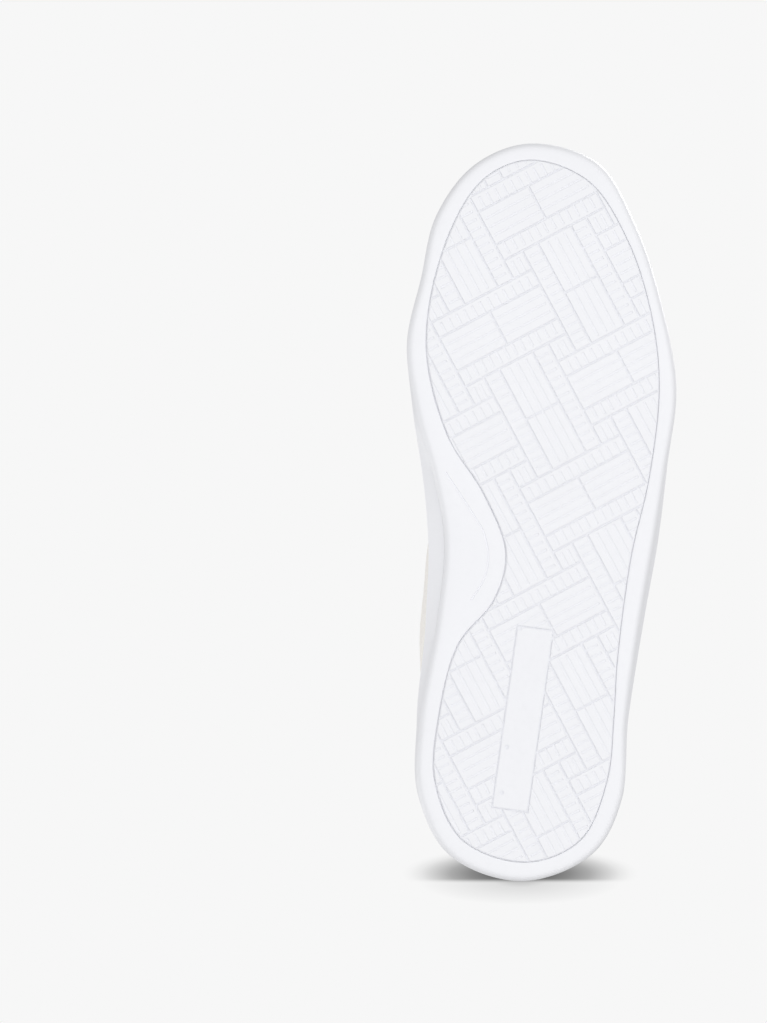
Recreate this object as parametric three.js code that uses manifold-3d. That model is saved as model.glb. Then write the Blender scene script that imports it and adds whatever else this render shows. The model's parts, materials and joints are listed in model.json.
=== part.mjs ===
// Left court shoe with a stitched cupsole, an inset tread and a low laced leather upper.
// Millimetres. +Z is up, -Y is the toe, +Y the heel, +X the outer (lateral) side of the foot.
import * as THREE from "three";
import { mergeVertices } from "three/addons/utils/BufferGeometryUtils.js";
import Module from "manifold-3d";

const wasm = await Module();
wasm.setup();

// ---- driving dimensions ----
const gap = 0.3;
const layerGap = 0.8;
const wallGap = 0.9;
const ringCount = 52;
const toeLift = 9;
const toeLiftStart = -72;
const toeEnd = -150;

const lugHeight = 1.5;
const treadTop = 3.7;
const cupBottom = 0.5;
const cupFloor = 6.2;
const cupWall = 4;
const rimHeight = 25;
const heelRimExtra = 3;

const filletTop = 10.7;
const boardThickness = 1.5;
const footbedThickness = 4.2;

const lastAxis = -7;
const upperBottom = 11.1;
const straightShare = 0.12;
const baseThickness = 1.6;
const overlayThickness = 1.2;
const liningThickness = 1.2;
const collarPadding = 6.4;
const stiffenerThickness = 1.1;
const upperInset = cupWall + wallGap + overlayThickness + layerGap;

const eyeletCount = 6;
const eyeletShare = 0.9;
const eyeletBore = 2.3;
const eyeletBarrel = 2.9;
const eyeletFlange = 4.1;
const laceRadius = 1.6;

const blockLength = 46.4;
const blockWidth = 29.4;
const blockTurn = THREE.MathUtils.degToRad(28);
const blockOrigin = [-30.8, -50.4];
const grooveWidth = 1.1;
const stripWidth = 7.1;

// ---- outlines seen from above, from the toe tip round the lateral side, the heel and the medial side ----
const soleOutline = closedCurve([
  [-4.5, -150], [23.5, -142], [38.5, -117], [48.6, -86], [55.1, -50], [50.8, -17], [46.2, 12],
  [40.6, 44], [35, 84], [32.9, 117], [21, 139], [-7.5, 150], [-37, 139.5], [-49.6, 115],
  [-49.2, 84], [-42.1, 44], [-39.2, 12], [-43.3, -13], [-50.8, -41], [-54.3, -68], [-48.5, -95],
  [-42.5, -120], [-27, -141],
]);
const rimOutline = closedCurve([
  [-4.5, -149], [23.5, -141], [38.5, -116], [48.6, -86], [55, -50], [51.6, -17], [48, 12],
  [42.3, 44], [36, 84], [33, 117], [21, 138.6], [-7.5, 149], [-37, 139], [-50, 115],
  [-50.4, 84], [-48.6, 44], [-47.2, 12], [-48, -13], [-52, -41], [-54, -68], [-48.5, -95],
  [-42.5, -119], [-27, -140],
]);
const treadOutline = closedCurve([
  [-4.5, -142.8], [19.2, -134.3], [35.1, -110], [45, -78], [47.8, -49], [43.6, -13], [36.5, 18],
  [30.9, 60], [29.4, 84], [26.7, 109], [16, 133], [-6, 142], [-31.8, 133], [-42.9, 109],
  [-41.5, 84], [-33.5, 54], [-19, 36], [-14.1, 17], [-23, -7], [-37.8, -31], [-46.4, -68],
  [-38.1, -110], [-23, -135],
]);

// One row per 1/24 of the way round: half width, y and z of the upper's top edge, then the
// lower handle's rise and bulge and the upper handle's reach, drop and pinch of its side curve.
const upperStations = [
  [0, -54, 64, 30, 2, 0.6, 7, 0],
  [3.6, -53.4, 64, 30, 2, 0.58, 7, 0],
  [7, -51.5, 64.4, 28, 2.5, 0.56, 7, 0],
  [10, -47, 66, 27, 3, 0.5, 7, 0],
  [12, -38, 69.5, 28, 4, 0.45, 8, 0],
  [13.5, -20, 78, 30, 5, 0.38, 11, 0],
  [15, 0, 88.5, 33, 6, 0.3, 16, 0],
  [17.5, 20, 99.5, 34, 7, 0.22, 23, 0],
  [29, 48, 86.5, 29, 8, 0.1, 24, 0],
  [34.5, 80, 74, 22, 8, 0, 20, 1],
  [31.5, 110, 77, 23, 8, 0, 22, 2],
  [18, 133.5, 86, 26, 7.5, 0, 26, 3.5],
  [0, 141, 92, 28, 7.5, 0, 28, 4.5],
];
const stationCount = upperStations.length - 1;

// ---- helpers ----
function closedCurve(points) {
  const curve = new THREE.CatmullRomCurve3(
    points.map(([x, y]) => new THREE.Vector3(x, y, 0)),
    true,
    "centripetal",
  );
  curve.arcLengthDivisions = 600;
  return curve;
}

function smooth(low, high, value) {
  return THREE.MathUtils.smoothstep(value, low, high);
}

function lift(y) {
  const share = Math.max(0, (toeLiftStart - y) / (toeLiftStart - toeEnd));
  return toeLift * share * share;
}

function rimTop(y) {
  return rimHeight + heelRimExtra * smooth(20, 120, y);
}

function around(s) {
  return THREE.MathUtils.euclideanModulo(s, 1);
}

function outlinePoint(curve, s, inset, z) {
  const point = curve.getPointAt(around(s));
  const tangent = curve.getTangentAt(around(s));
  return new THREE.Vector3(point.x - inset * tangent.y, point.y + inset * tangent.x, z);
}

function outlineRing(curve, inset, height, count = ringCount) {
  const heightAt = typeof height === "function" ? height : () => height;
  return Array.from({ length: count }, (_, i) => {
    const point = outlinePoint(curve, i / count, inset, 0);
    point.z = heightAt(point.y);
    return point;
  });
}

// A closed geometry from its points and triangles, raised by the toe spring and facing outwards.
function closedGeometry(points, triangles, raised = true) {
  let volume = 0;
  for (const [a, b, c] of triangles) {
    volume += points[a].dot(new THREE.Vector3().crossVectors(points[b], points[c]));
  }
  const ordered = volume < 0 ? triangles.map(([a, b, c]) => [a, c, b]) : triangles;
  const geometry = new THREE.BufferGeometry();
  const flat = points.flatMap((p) => [p.x, p.y, raised ? p.z + lift(p.y) : p.z]);
  geometry.setAttribute("position", new THREE.Float32BufferAttribute(flat, 3));
  geometry.setIndex(ordered.flat());
  return geometry;
}

// A solid through a stack of rings that all start at the toe, with its end caps laid as rungs.
function ringSolid(rings) {
  const count = rings[0].length;
  const points = rings.flat();
  const triangles = [];
  for (let r = 0; r + 1 < rings.length; r += 1) {
    for (let i = 0; i < count; i += 1) {
      const j = (i + 1) % count;
      const [a, b, c, d] = [r * count + i, r * count + j, (r + 1) * count + j, (r + 1) * count + i];
      triangles.push([a, b, c], [a, c, d]);
    }
  }
  const cap = (start, flip) => {
    for (let i = 0; i < count / 2; i += 1) {
      const [a, b] = [start + i, start + i + 1];
      const [c, d] = [start + ((count - i - 1) % count), start + ((count - i) % count)];
      const faces = [[a, b, c], [a, c, d]].filter((f) => new Set(f).size === 3);
      triangles.push(...faces.map(([p, q, r]) => (flip ? [p, r, q] : [p, q, r])));
    }
  };
  cap(0, true);
  cap((rings.length - 1) * count, false);
  return closedGeometry(points, triangles);
}

// A solid between two grids of points of the same size.
function gridSolid(outer, inner) {
  const columns = outer.length;
  const rows = outer[0].length;
  const points = [...outer.flat(), ...inner.flat()];
  const triangles = [];
  const outerAt = (i, j) => i * rows + j;
  const innerAt = (i, j) => columns * rows + i * rows + j;
  const quad = (a, b, c, d) => triangles.push([a, b, c], [a, c, d]);
  for (let i = 0; i + 1 < columns; i += 1) {
    for (let j = 0; j + 1 < rows; j += 1) {
      quad(outerAt(i, j), outerAt(i + 1, j), outerAt(i + 1, j + 1), outerAt(i, j + 1));
      quad(innerAt(i, j), innerAt(i, j + 1), innerAt(i + 1, j + 1), innerAt(i + 1, j));
    }
    quad(outerAt(i, 0), innerAt(i, 0), innerAt(i + 1, 0), outerAt(i + 1, 0));
    quad(outerAt(i, rows - 1), outerAt(i + 1, rows - 1), innerAt(i + 1, rows - 1), innerAt(i, rows - 1));
  }
  for (let j = 0; j + 1 < rows; j += 1) {
    quad(outerAt(0, j), outerAt(0, j + 1), innerAt(0, j + 1), innerAt(0, j));
    quad(outerAt(columns - 1, j), innerAt(columns - 1, j), innerAt(columns - 1, j + 1), outerAt(columns - 1, j + 1));
  }
  return closedGeometry(points, triangles);
}

function toManifold(geometry) {
  const bare = geometry.clone();
  bare.deleteAttribute("normal");
  bare.deleteAttribute("uv");
  const merged = mergeVertices(bare, 1e-4);
  return new wasm.Manifold(
    new wasm.Mesh({
      numProp: 3,
      vertProperties: merged.getAttribute("position").array,
      triVerts: new Uint32Array(merged.getIndex().array),
    }),
  );
}

function fromManifold(solid) {
  const mesh = solid.getMesh();
  const geometry = new THREE.BufferGeometry();
  geometry.setAttribute("position", new THREE.Float32BufferAttribute(mesh.vertProperties, 3));
  geometry.setIndex([...mesh.triVerts]);
  return geometry;
}

// ---- the surface of the upper: s runs round it from toe to heel, v from the sole to the top edge ----
function stationValue(column, position, odd = false) {
  const index = Math.min(Math.floor(position), stationCount - 1);
  const t = position - index;
  const at = (n) => {
    const folded = n < 0 ? -n : n > stationCount ? 2 * stationCount - n : n;
    const value = upperStations[folded][column];
    return odd && folded !== n ? -value : value;
  };
  const [a, b, c, d] = [at(index - 1), at(index), at(index + 1), at(index + 2)];
  const bend = 2 * a - 5 * b + 4 * c - d;
  const twist = 3 * b - a - 3 * c + d;
  return b + 0.5 * t * (c - a + t * (bend + t * twist));
}

function sideCurve(s) {
  const folded = 0.5 - Math.abs(around(s) - 0.5);
  const side = around(s) > 0.5 ? -1 : 1;
  const position = folded * 2 * stationCount;
  const [y, z, rise, bulge, reach, drop, pinch] = [1, 2, 3, 4, 5, 6, 7].map((n) => stationValue(n, position));
  const half = stationValue(0, position, true);
  const foot = outlinePoint(rimOutline, s, upperInset, 0);
  foot.z = rimTop(foot.y) - 1;
  const widest = outlinePoint(rimOutline, s, upperInset - bulge, foot.z + rise);
  const inward = outlinePoint(rimOutline, s, 1, 0).sub(outlinePoint(rimOutline, s, 0, 0));
  const edge = new THREE.Vector3(lastAxis + side * half, y, z);
  const shoulder = edge.clone().lerp(new THREE.Vector3(foot.x, foot.y, z), reach);
  shoulder.addScaledVector(inward, pinch);
  shoulder.z -= drop;
  return new THREE.CubicBezierCurve3(foot, widest, shoulder, edge);
}

function upperPoint(s, v) {
  if (v < straightShare) {
    const foot = outlinePoint(rimOutline, s, upperInset, upperBottom);
    foot.z = THREE.MathUtils.lerp(upperBottom, rimTop(foot.y) - 1, v / straightShare);
    return foot;
  }
  return sideCurve(s).getPoint((v - straightShare) / (1 - straightShare));
}

function upperNormal(s, v) {
  const step = 0.004;
  const alongS = upperPoint(s + step, v).sub(upperPoint(s - step, v));
  const low = Math.max(v - step * 3, 0);
  const high = Math.min(v + step * 3, 1);
  const alongV = upperPoint(s, high).sub(upperPoint(s, low));
  return alongS.cross(alongV).normalize();
}

function offsetPoint(s, v, offset) {
  return upperPoint(s, v).addScaledVector(upperNormal(s, v), offset);
}

// A leather, foam or lining piece over one region of the upper.
function panel({ from, to, low, high, outside, inside, columns, rows }) {
  const value = (setting, ...at) => (typeof setting === "function" ? setting(...at) : setting);
  // A row always lies on the line where the straight foot of the upper ends.
  const rowAt = (s, j) => {
    const [bottom, top] = [value(low, s), value(high, s)];
    if (bottom >= straightShare) return THREE.MathUtils.lerp(bottom, top, j / rows);
    return j === 0 ? bottom : THREE.MathUtils.lerp(straightShare, top, (j - 1) / (rows - 1));
  };
  const border = (setting, j) => value(setting, rowAt(value(setting, 0), j));
  const face = (offset) =>
    Array.from({ length: columns + 1 }, (_, i) =>
      Array.from({ length: rows + 1 }, (_, j) => {
        const s = THREE.MathUtils.lerp(border(from, j), border(to, j), i / columns);
        const v = rowAt(s, j);
        return offsetPoint(s, v, value(offset, s, v));
      }),
    );
  return gridSolid(face(outside), face(inside));
}

// Depth between the leather and the lining, filled by the collar foam and the two stiffeners.
function fillDepth(s, v) {
  const station = (0.5 - Math.abs(around(s) - 0.5)) * 2 * stationCount;
  const collar = smooth(6.9, 8.4, station) * smooth(0.5, 0.76, v) * (1 - 0.5 * smooth(0.86, 1, v));
  const heel = smooth(9, 9.5, station) * (1 - smooth(0.55, 0.66, v));
  const toe = (1 - smooth(2.5, 3, station)) * (1 - smooth(0.52, 0.6, v));
  return collarPadding * collar + (stiffenerThickness + layerGap) * Math.max(heel, toe);
}

const liningOutside = (s, v) => -(baseThickness + layerGap + fillDepth(s, v));
const liningInside = (s, v) => liningOutside(s, v) - liningThickness;

// ---- scene graph ----
const shoe = new THREE.Group();

function addPart(name, geometry, color, roughness, metalness = 0) {
  const clean = geometry.index ? geometry.toNonIndexed() : geometry;
  clean.computeVertexNormals();
  const part = new THREE.Mesh(clean, new THREE.MeshStandardMaterial({ color, roughness, metalness }));
  part.name = name;
  shoe.add(part);
  return part;
}

const rubberWhite = 0xf3f4f7;
const leatherWhite = 0xf1ece5;
const liningCream = 0xe9e3da;
const foamCream = 0xe6dfce;
const boardGrey = 0xd9d4cb;
const laceWhite = 0xf6f5f2;
const eyeletWhite = 0xeceae6;

// ---- sole ----
function soleWallRings() {
  return [
    outlineRing(soleOutline, cupWall, cupFloor),
    outlineRing(rimOutline, cupWall, filletTop - 0.2),
    outlineRing(rimOutline, cupWall, (y) => rimTop(y) - 0.4),
    outlineRing(rimOutline, cupWall - 0.8, rimTop),
    outlineRing(rimOutline, 1.3, rimTop),
    outlineRing(rimOutline, 0.6, (y) => rimTop(y) - 0.8),
    outlineRing(rimOutline, 0.2, 9.5),
    outlineRing(soleOutline, 0, 4.5),
    outlineRing(soleOutline, 0.9, 2),
    outlineRing(soleOutline, 2.4, cupBottom),
    outlineRing(treadOutline, -gap, cupBottom),
    outlineRing(treadOutline, -gap, treadTop + gap),
  ];
}

function bar([cx, cy], length, width, turn, low, high) {
  const box = new THREE.BoxGeometry(length, width, high - low);
  box.rotateZ(turn);
  box.translate(cx, cy, (high + low) / 2);
  const position = box.getAttribute("position");
  for (let i = 0; i < position.count; i += 1) {
    position.setZ(i, position.getZ(i) + lift(position.getY(i)));
  }
  return toManifold(box);
}

// Bars of one tread block: a strip along each long side and a cross-split pad between them.
function blockBars(center, turn) {
  const along = [Math.cos(turn), Math.sin(turn)];
  const across = [-Math.sin(turn), Math.cos(turn)];
  const at = (a, b) => [center[0] + a * along[0] + b * across[0], center[1] + a * along[1] + b * across[1]];
  const length = blockLength - grooveWidth;
  const stripCentre = (blockWidth - stripWidth) / 2;
  const padWidth = blockWidth - 2 * stripWidth - grooveWidth;
  const padLength = (length - grooveWidth) / 2;
  const padCentre = (padLength + grooveWidth) / 2;
  const high = lugHeight + 0.3;
  return [
    bar(at(0, stripCentre), length, stripWidth - grooveWidth, turn, 0, high),
    bar(at(0, -stripCentre), length, stripWidth - grooveWidth, turn, 0, high),
    bar(at(padCentre, 0), padLength, padWidth, turn, 0, high),
    bar(at(-padCentre, 0), padLength, padWidth, turn, 0, high),
  ];
}

// Basket-weave layout: long blocks along one axis and across it, with small squares between.
function treadBars() {
  const pitch = (blockLength + blockWidth) / 2;
  const along = [Math.cos(blockTurn), -Math.sin(blockTurn)];
  const up = [-Math.sin(blockTurn), -Math.cos(blockTurn)];
  const place = (a, b) => [
    blockOrigin[0] + a * along[0] + b * up[0],
    blockOrigin[1] + a * along[1] + b * up[1],
  ];
  const square = (blockLength - blockWidth) / 2;
  const bars = [];
  for (let i = -6; i <= 6; i += 1) {
    for (let j = -6; j <= 6; j += 1) {
      const a = (i + j) * pitch;
      const b = (i - j) * pitch;
      const center = place(a + blockLength / 2, b + blockWidth / 2);
      if (Math.abs(center[0]) > 75 || Math.abs(center[1]) > 175) continue;
      bars.push(...blockBars(center, -blockTurn));
      bars.push(...blockBars(place(a + blockLength / 2 + pitch, b + blockWidth / 2), Math.PI / 2 - blockTurn));
      for (const level of [blockWidth + square / 2, -square / 2]) {
        const small = place(a + pitch + square / 2, b + level);
        bars.push(bar(small, square - grooveWidth, square - grooveWidth, -blockTurn, 0, lugHeight + 0.3));
      }
    }
  }
  return bars;
}

function makeOutsole() {
  const plate = toManifold(ringSolid([
    outlineRing(treadOutline, 0, lugHeight),
    outlineRing(treadOutline, 0, treadTop),
  ]));
  const field = toManifold(ringSolid([
    outlineRing(treadOutline, 0.6, -1),
    outlineRing(treadOutline, 0.6, lugHeight + 1),
  ]));
  const plaqueCentre = [-7.5, 84];
  const plaqueTurn = Math.PI / 2 + THREE.MathUtils.degToRad(8);
  const plaque = bar(plaqueCentre, 74, 15, plaqueTurn, 0, lugHeight + 0.3);
  const clearing = bar(plaqueCentre, 76.4, 17.4, plaqueTurn, -1, lugHeight + 0.2);
  const bars = wasm.Manifold.union(treadBars()).intersect(field).subtract(clearing);
  return fromManifold(wasm.Manifold.union([bars, plaque, plate]));
}

addPart("outsole", makeOutsole(), rubberWhite, 0.55);
addPart("cupsole", ringSolid(soleWallRings()), rubberWhite, 0.5);
addPart("midsole_insert", ringSolid([
  outlineRing(soleOutline, cupWall + gap, cupFloor + gap),
  outlineRing(rimOutline, cupWall + gap, filletTop),
]), foamCream, 0.9);

const innerInset = upperInset + baseThickness + liningThickness + stiffenerThickness + 2 * layerGap + gap;
const boardBottom = filletTop + gap;
const boardTop = boardBottom + boardThickness;
const footbedBottom = boardTop + gap;
const footbedTop = footbedBottom + footbedThickness;
addPart("insole_board", ringSolid([
  outlineRing(rimOutline, innerInset, boardBottom),
  outlineRing(rimOutline, innerInset, boardTop),
]), boardGrey, 0.95);
addPart("sockliner", ringSolid([
  outlineRing(rimOutline, innerInset + 1.2, footbedBottom),
  outlineRing(rimOutline, innerInset + 0.6, footbedBottom + 2),
  outlineRing(rimOutline, innerInset + 1, footbedTop + 1.4),
  outlineRing(rimOutline, innerInset + 3, footbedTop + 1),
  outlineRing(rimOutline, innerInset + 9, footbedTop),
]), liningCream, 0.95);


// ---- upper: leather pieces, each over its own region ----
const throatSeam = (v) => THREE.MathUtils.lerp(0.195, 0.128, v);
const eyestayLow = 0.8;
const eyestayEnd = 0.302;

// The lining stops below the eyelets along the throat and runs up to the collar edge behind them.
const liningTop = (s) => {
  const folded = 0.5 - Math.abs(around(s) - 0.5);
  return THREE.MathUtils.lerp(eyestayLow - 0.01, 0.995, smooth(eyestayEnd - 0.005, eyestayEnd + 0.03, folded));
};

function mirrored(region) {
  const flip = (setting) => (typeof setting === "function" ? (at, ...rest) => -setting(at, ...rest) : -setting);
  const fold = (setting) => (typeof setting === "function" ? (s, v) => setting(Math.abs(s), v) : setting);
  return {
    ...region,
    from: flip(region.from),
    to: flip(region.to),
    low: fold(region.low),
    high: fold(region.high),
    outside: fold(region.outside),
    inside: fold(region.inside),
  };
}

const vamp = {
  from: (v) => -throatSeam(v) + 0.0008,
  to: (v) => throatSeam(v) - 0.0008,
  low: 0,
  high: 1,
  outside: 0,
  inside: -baseThickness,
  columns: 20,
  rows: 10,
};
addPart("vamp", panel(vamp), leatherWhite, 0.6);

const quarter = {
  from: throatSeam,
  to: 0.4985,
  low: 0,
  high: 1,
  outside: 0,
  inside: -baseThickness,
  columns: 18,
  rows: 7,
};
const eyestay = {
  from: (v) => throatSeam(v) + 0.001,
  to: eyestayEnd - 0.002,
  low: eyestayLow,
  high: 1,
  outside: layerGap + overlayThickness,
  inside: layerGap,
  columns: 11,
  rows: 2,
};

const toeCapTop = (s) => 0.5 - 6 * s * s;
addPart("toe_cap", panel({
  from: -0.165,
  to: 0.165,
  low: 0.02,
  high: toeCapTop,
  outside: layerGap + overlayThickness,
  inside: layerGap,
  columns: 18,
  rows: 4,
}), leatherWhite, 0.6);

const counterTop = (s) => 0.26 + 0.34 * smooth(0.385, 0.47, 0.5 - Math.abs(around(s) - 0.5));
addPart("heel_counter", panel({
  from: 0.385,
  to: 0.615,
  low: 0.02,
  high: counterTop,
  outside: layerGap + overlayThickness,
  inside: layerGap,
  columns: 14,
  rows: 4,
}), leatherWhite, 0.6);
addPart("heel_tab", panel({
  from: 0.462,
  to: 0.538,
  low: 0.64,
  high: 0.985,
  outside: layerGap + overlayThickness,
  inside: layerGap,
  columns: 6,
  rows: 4,
}), leatherWhite, 0.6);

// ---- eyelets and lace ----
const eyeletFirst = 0.158;
const eyeletLast = 0.284;
const eyeletPlaces = Array.from({ length: eyeletCount }, (_, i) =>
  THREE.MathUtils.lerp(eyeletFirst, eyeletLast, i / (eyeletCount - 1)));

// The frame of one eyelet: its centre on the leather, the outward normal and the way to the throat.
function eyeletFrame(s) {
  const centre = upperPoint(s, eyeletShare);
  const normal = upperNormal(s, eyeletShare);
  const inward = upperPoint(s, 1).sub(centre);
  inward.addScaledVector(normal, -inward.dot(normal)).normalize();
  centre.z += lift(centre.y);
  return { centre, normal, inward };
}

const eyeletBottom = -baseThickness - 0.4;
const flangeBottom = layerGap + overlayThickness + 0.5;
const flangeTop = flangeBottom + 0.6;

function onEyelet(geometry, s) {
  const { centre, normal, inward } = eyeletFrame(s);
  const side = new THREE.Vector3().crossVectors(normal, inward);
  geometry.applyMatrix4(new THREE.Matrix4().makeBasis(inward, side, normal).setPosition(centre));
  return geometry;
}

function eyeletRing(s) {
  const profile = [
    [eyeletBore, eyeletBottom], [eyeletBarrel, eyeletBottom], [eyeletBarrel, flangeBottom],
    [eyeletFlange, flangeBottom], [eyeletFlange, flangeTop], [eyeletBore, flangeTop], [eyeletBore, eyeletBottom],
  ];
  const ring = new THREE.LatheGeometry(profile.map(([r, z]) => new THREE.Vector2(r, z)), 8);
  ring.rotateX(Math.PI / 2);
  return onEyelet(ring, s);
}

function punched(geometry, side) {
  const drills = eyeletPlaces.map((s) => {
    const drill = new THREE.CylinderGeometry(eyeletBarrel + 0.4, eyeletBarrel + 0.4, 12, 8);
    drill.rotateX(Math.PI / 2);
    return toManifold(onEyelet(drill, side * s));
  });
  return fromManifold(toManifold(geometry).subtract(wasm.Manifold.union(drills)));
}

for (const [name, side] of [["lateral", 1], ["medial", -1]]) {
  const sided = (region) => (side > 0 ? region : mirrored(region));
  addPart(`quarter_${name}`, punched(panel(sided(quarter)), side), leatherWhite, 0.6);
  addPart(`eyestay_${name}`, punched(panel(sided(eyestay)), side), leatherWhite, 0.6);
  eyeletPlaces.forEach((s, i) => {
    addPart(`eyelet_${name}_${i + 1}`, eyeletRing(side * s), eyeletWhite, 0.4);
  });
}

// ---- lining, stiffeners and collar foam ----
addPart("vamp_lining", panel({
  ...vamp,
  from: (v) => -throatSeam(v) + 0.0015,
  to: (v) => throatSeam(v) - 0.0015,
  low: 0.015,
  outside: liningOutside,
  inside: liningInside,
}), liningCream, 0.95);

addPart("collar_lining", panel({
  from: (v) => throatSeam(v) + 0.0015,
  to: (v) => 1 - throatSeam(v) - 0.0015,
  low: 0.015,
  high: liningTop,
  outside: liningOutside,
  inside: liningInside,
  columns: 32,
  rows: 9,
}), liningCream, 0.95);

addPart("toe_puff", panel({
  from: -0.1,
  to: 0.1,
  low: 0.03,
  high: 0.5,
  outside: -(baseThickness + layerGap),
  inside: -(baseThickness + layerGap + stiffenerThickness),
  columns: 12,
  rows: 4,
}), boardGrey, 0.8);
addPart("heel_stiffener", panel({
  from: 0.4,
  to: 0.6,
  low: 0.03,
  high: 0.53,
  outside: -(baseThickness + layerGap),
  inside: -(baseThickness + layerGap + stiffenerThickness),
  columns: 12,
  rows: 4,
}), boardGrey, 0.8);

const foamInside = (s, v) => liningOutside(s, v) + layerGap + 0.2;
addPart("collar_foam", panel({
  from: 0.325,
  to: 0.675,
  low: 0.62,
  high: 0.985,
  outside: -(baseThickness + layerGap),
  inside: foamInside,
  columns: 20,
  rows: 4,
}), foamCream, 0.95);

// ---- tongue ----
const tongueDepth = -8.4;
const tongueCrown = 3.6;
const tongueWing = 0.75;
const tongueRows = 9;
const tongueTopLength = 26;

function tongueRow(s) {
  const wing = [0, 0.35, 0.7, 1].map((share) => THREE.MathUtils.lerp(tongueWing, 1, share));
  const side = (sign) => wing.map((v) => offsetPoint(sign * s, v, tongueDepth));
  const lateral = side(1);
  const medial = side(-1).reverse();
  const centre = lateral[3].clone().lerp(medial[0], 0.5);
  centre.z += tongueCrown;
  return [...lateral, centre, ...medial];
}

// Points of the tongue's outer face: rows from its base up to its free top edge.
function tongueSurface() {
  const rows = Array.from({ length: tongueRows }, (_, i) => tongueRow(0.14 + (0.288 - 0.14) * (i / (tongueRows - 1))));
  const stretch = (near, far, length, narrow) => {
    const middle = near[4];
    const way = middle.clone().sub(far[4]).normalize().multiplyScalar(length);
    return near.map((p) => p.clone().lerp(middle, narrow).add(way));
  };
  const base = stretch(rows[0], rows[1], 9, 0.1);
  base.forEach((p) => { p.z -= 1.5; });
  const crown = stretch(rows[tongueRows - 1], rows[tongueRows - 2], tongueTopLength * 0.55, 0.02);
  const top = stretch(crown, rows[tongueRows - 1], tongueTopLength * 0.45, 0.14);
  return [base, ...rows, crown, top];
}

function tongueLayer(outside, inside) {
  const rows = tongueSurface();
  const normals = rows.map((row, i) => row.map((_, j) => {
    const up = rows[Math.min(i + 1, rows.length - 1)][j].clone().sub(rows[Math.max(i - 1, 0)][j]);
    const wide = row[Math.max(j - 1, 0)].clone().sub(row[Math.min(j + 1, row.length - 1)]);
    return wide.cross(up).normalize();
  }));
  const face = (offset) => rows.map((row, i) => row.map((p, j) => p.clone().addScaledVector(normals[i][j], offset)));
  return gridSolid(face(outside), face(inside));
}

addPart("tongue_shell", tongueLayer(0, -1.2), leatherWhite, 0.6);
addPart("tongue_foam", tongueLayer(-1.7, -4.8), foamCream, 0.95);
addPart("tongue_lining", tongueLayer(-6.4, -7.4), liningCream, 0.95);

// One lace in parallel bars: over the throat, down through an eyelet and along under the eyestay.
// A point of the lace where it lies over the eyestay, between the eyelet and the throat edge.
function overEdge(s, v) {
  const point = offsetPoint(s, v, flangeBottom + laceRadius + 1.3);
  point.z += lift(point.y) + 0.8;
  return point;
}

function laceRoute() {
  const turn = 2.5;
  const over = flangeTop + 0.1;
  const under = eyeletBottom - 0.1;
  const points = [];
  eyeletPlaces.forEach((s, i) => {
    const sides = i % 2 ? [-1, 1] : [1, -1];
    sides.forEach((side, end) => {
      const { centre, normal, inward } = eyeletFrame(side * s);
      const next = end ? Math.min(i + 1, eyeletCount - 1) : Math.max(i - 1, 0);
      const along = eyeletFrame(side * eyeletPlaces[next]).centre.sub(centre);
      const stays = along.length() < 1;
      const way = stays ? inward.clone() : along.clone();
      way.addScaledVector(normal, -way.dot(normal)).normalize();
      const at = (out, up, sideways) =>
        centre.clone().addScaledVector(inward, out).addScaledVector(normal, up).addScaledVector(way, sideways);
      const pass = [
        at(0, under - turn, stays ? 10 : along.length() * 0.4),
        at(0, under - turn, turn),
        at(0, under - turn * 0.3, turn * 0.3),
        at(0, under, 0),
        at(0, over, 0),
        at(turn * 0.3, over + turn * 0.7, 0),
        at(turn, over + turn, 0),
        overEdge(side * s, 0.955),
        overEdge(side * s, 1),
      ];
      points.push(...(end ? pass.reverse() : pass));
    });
  });
  const route = new THREE.CatmullRomCurve3(points, false, "centripetal");
  route.getUtoTmapping = (u) => u;
  return { route, steps: points.length - 1 };
}

function makeLace() {
  const { route, steps } = laceRoute();
  const section = new THREE.Shape();
  section.absarc(0, 0, laceRadius, 0, Math.PI * 2);
  return new THREE.ExtrudeGeometry(section, { steps, extrudePath: route, curveSegments: 3, bevelEnabled: false });
}
addPart("lace", makeLace(), laceWhite, 0.9);

export default shoe;
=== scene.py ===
import json
import math

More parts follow.
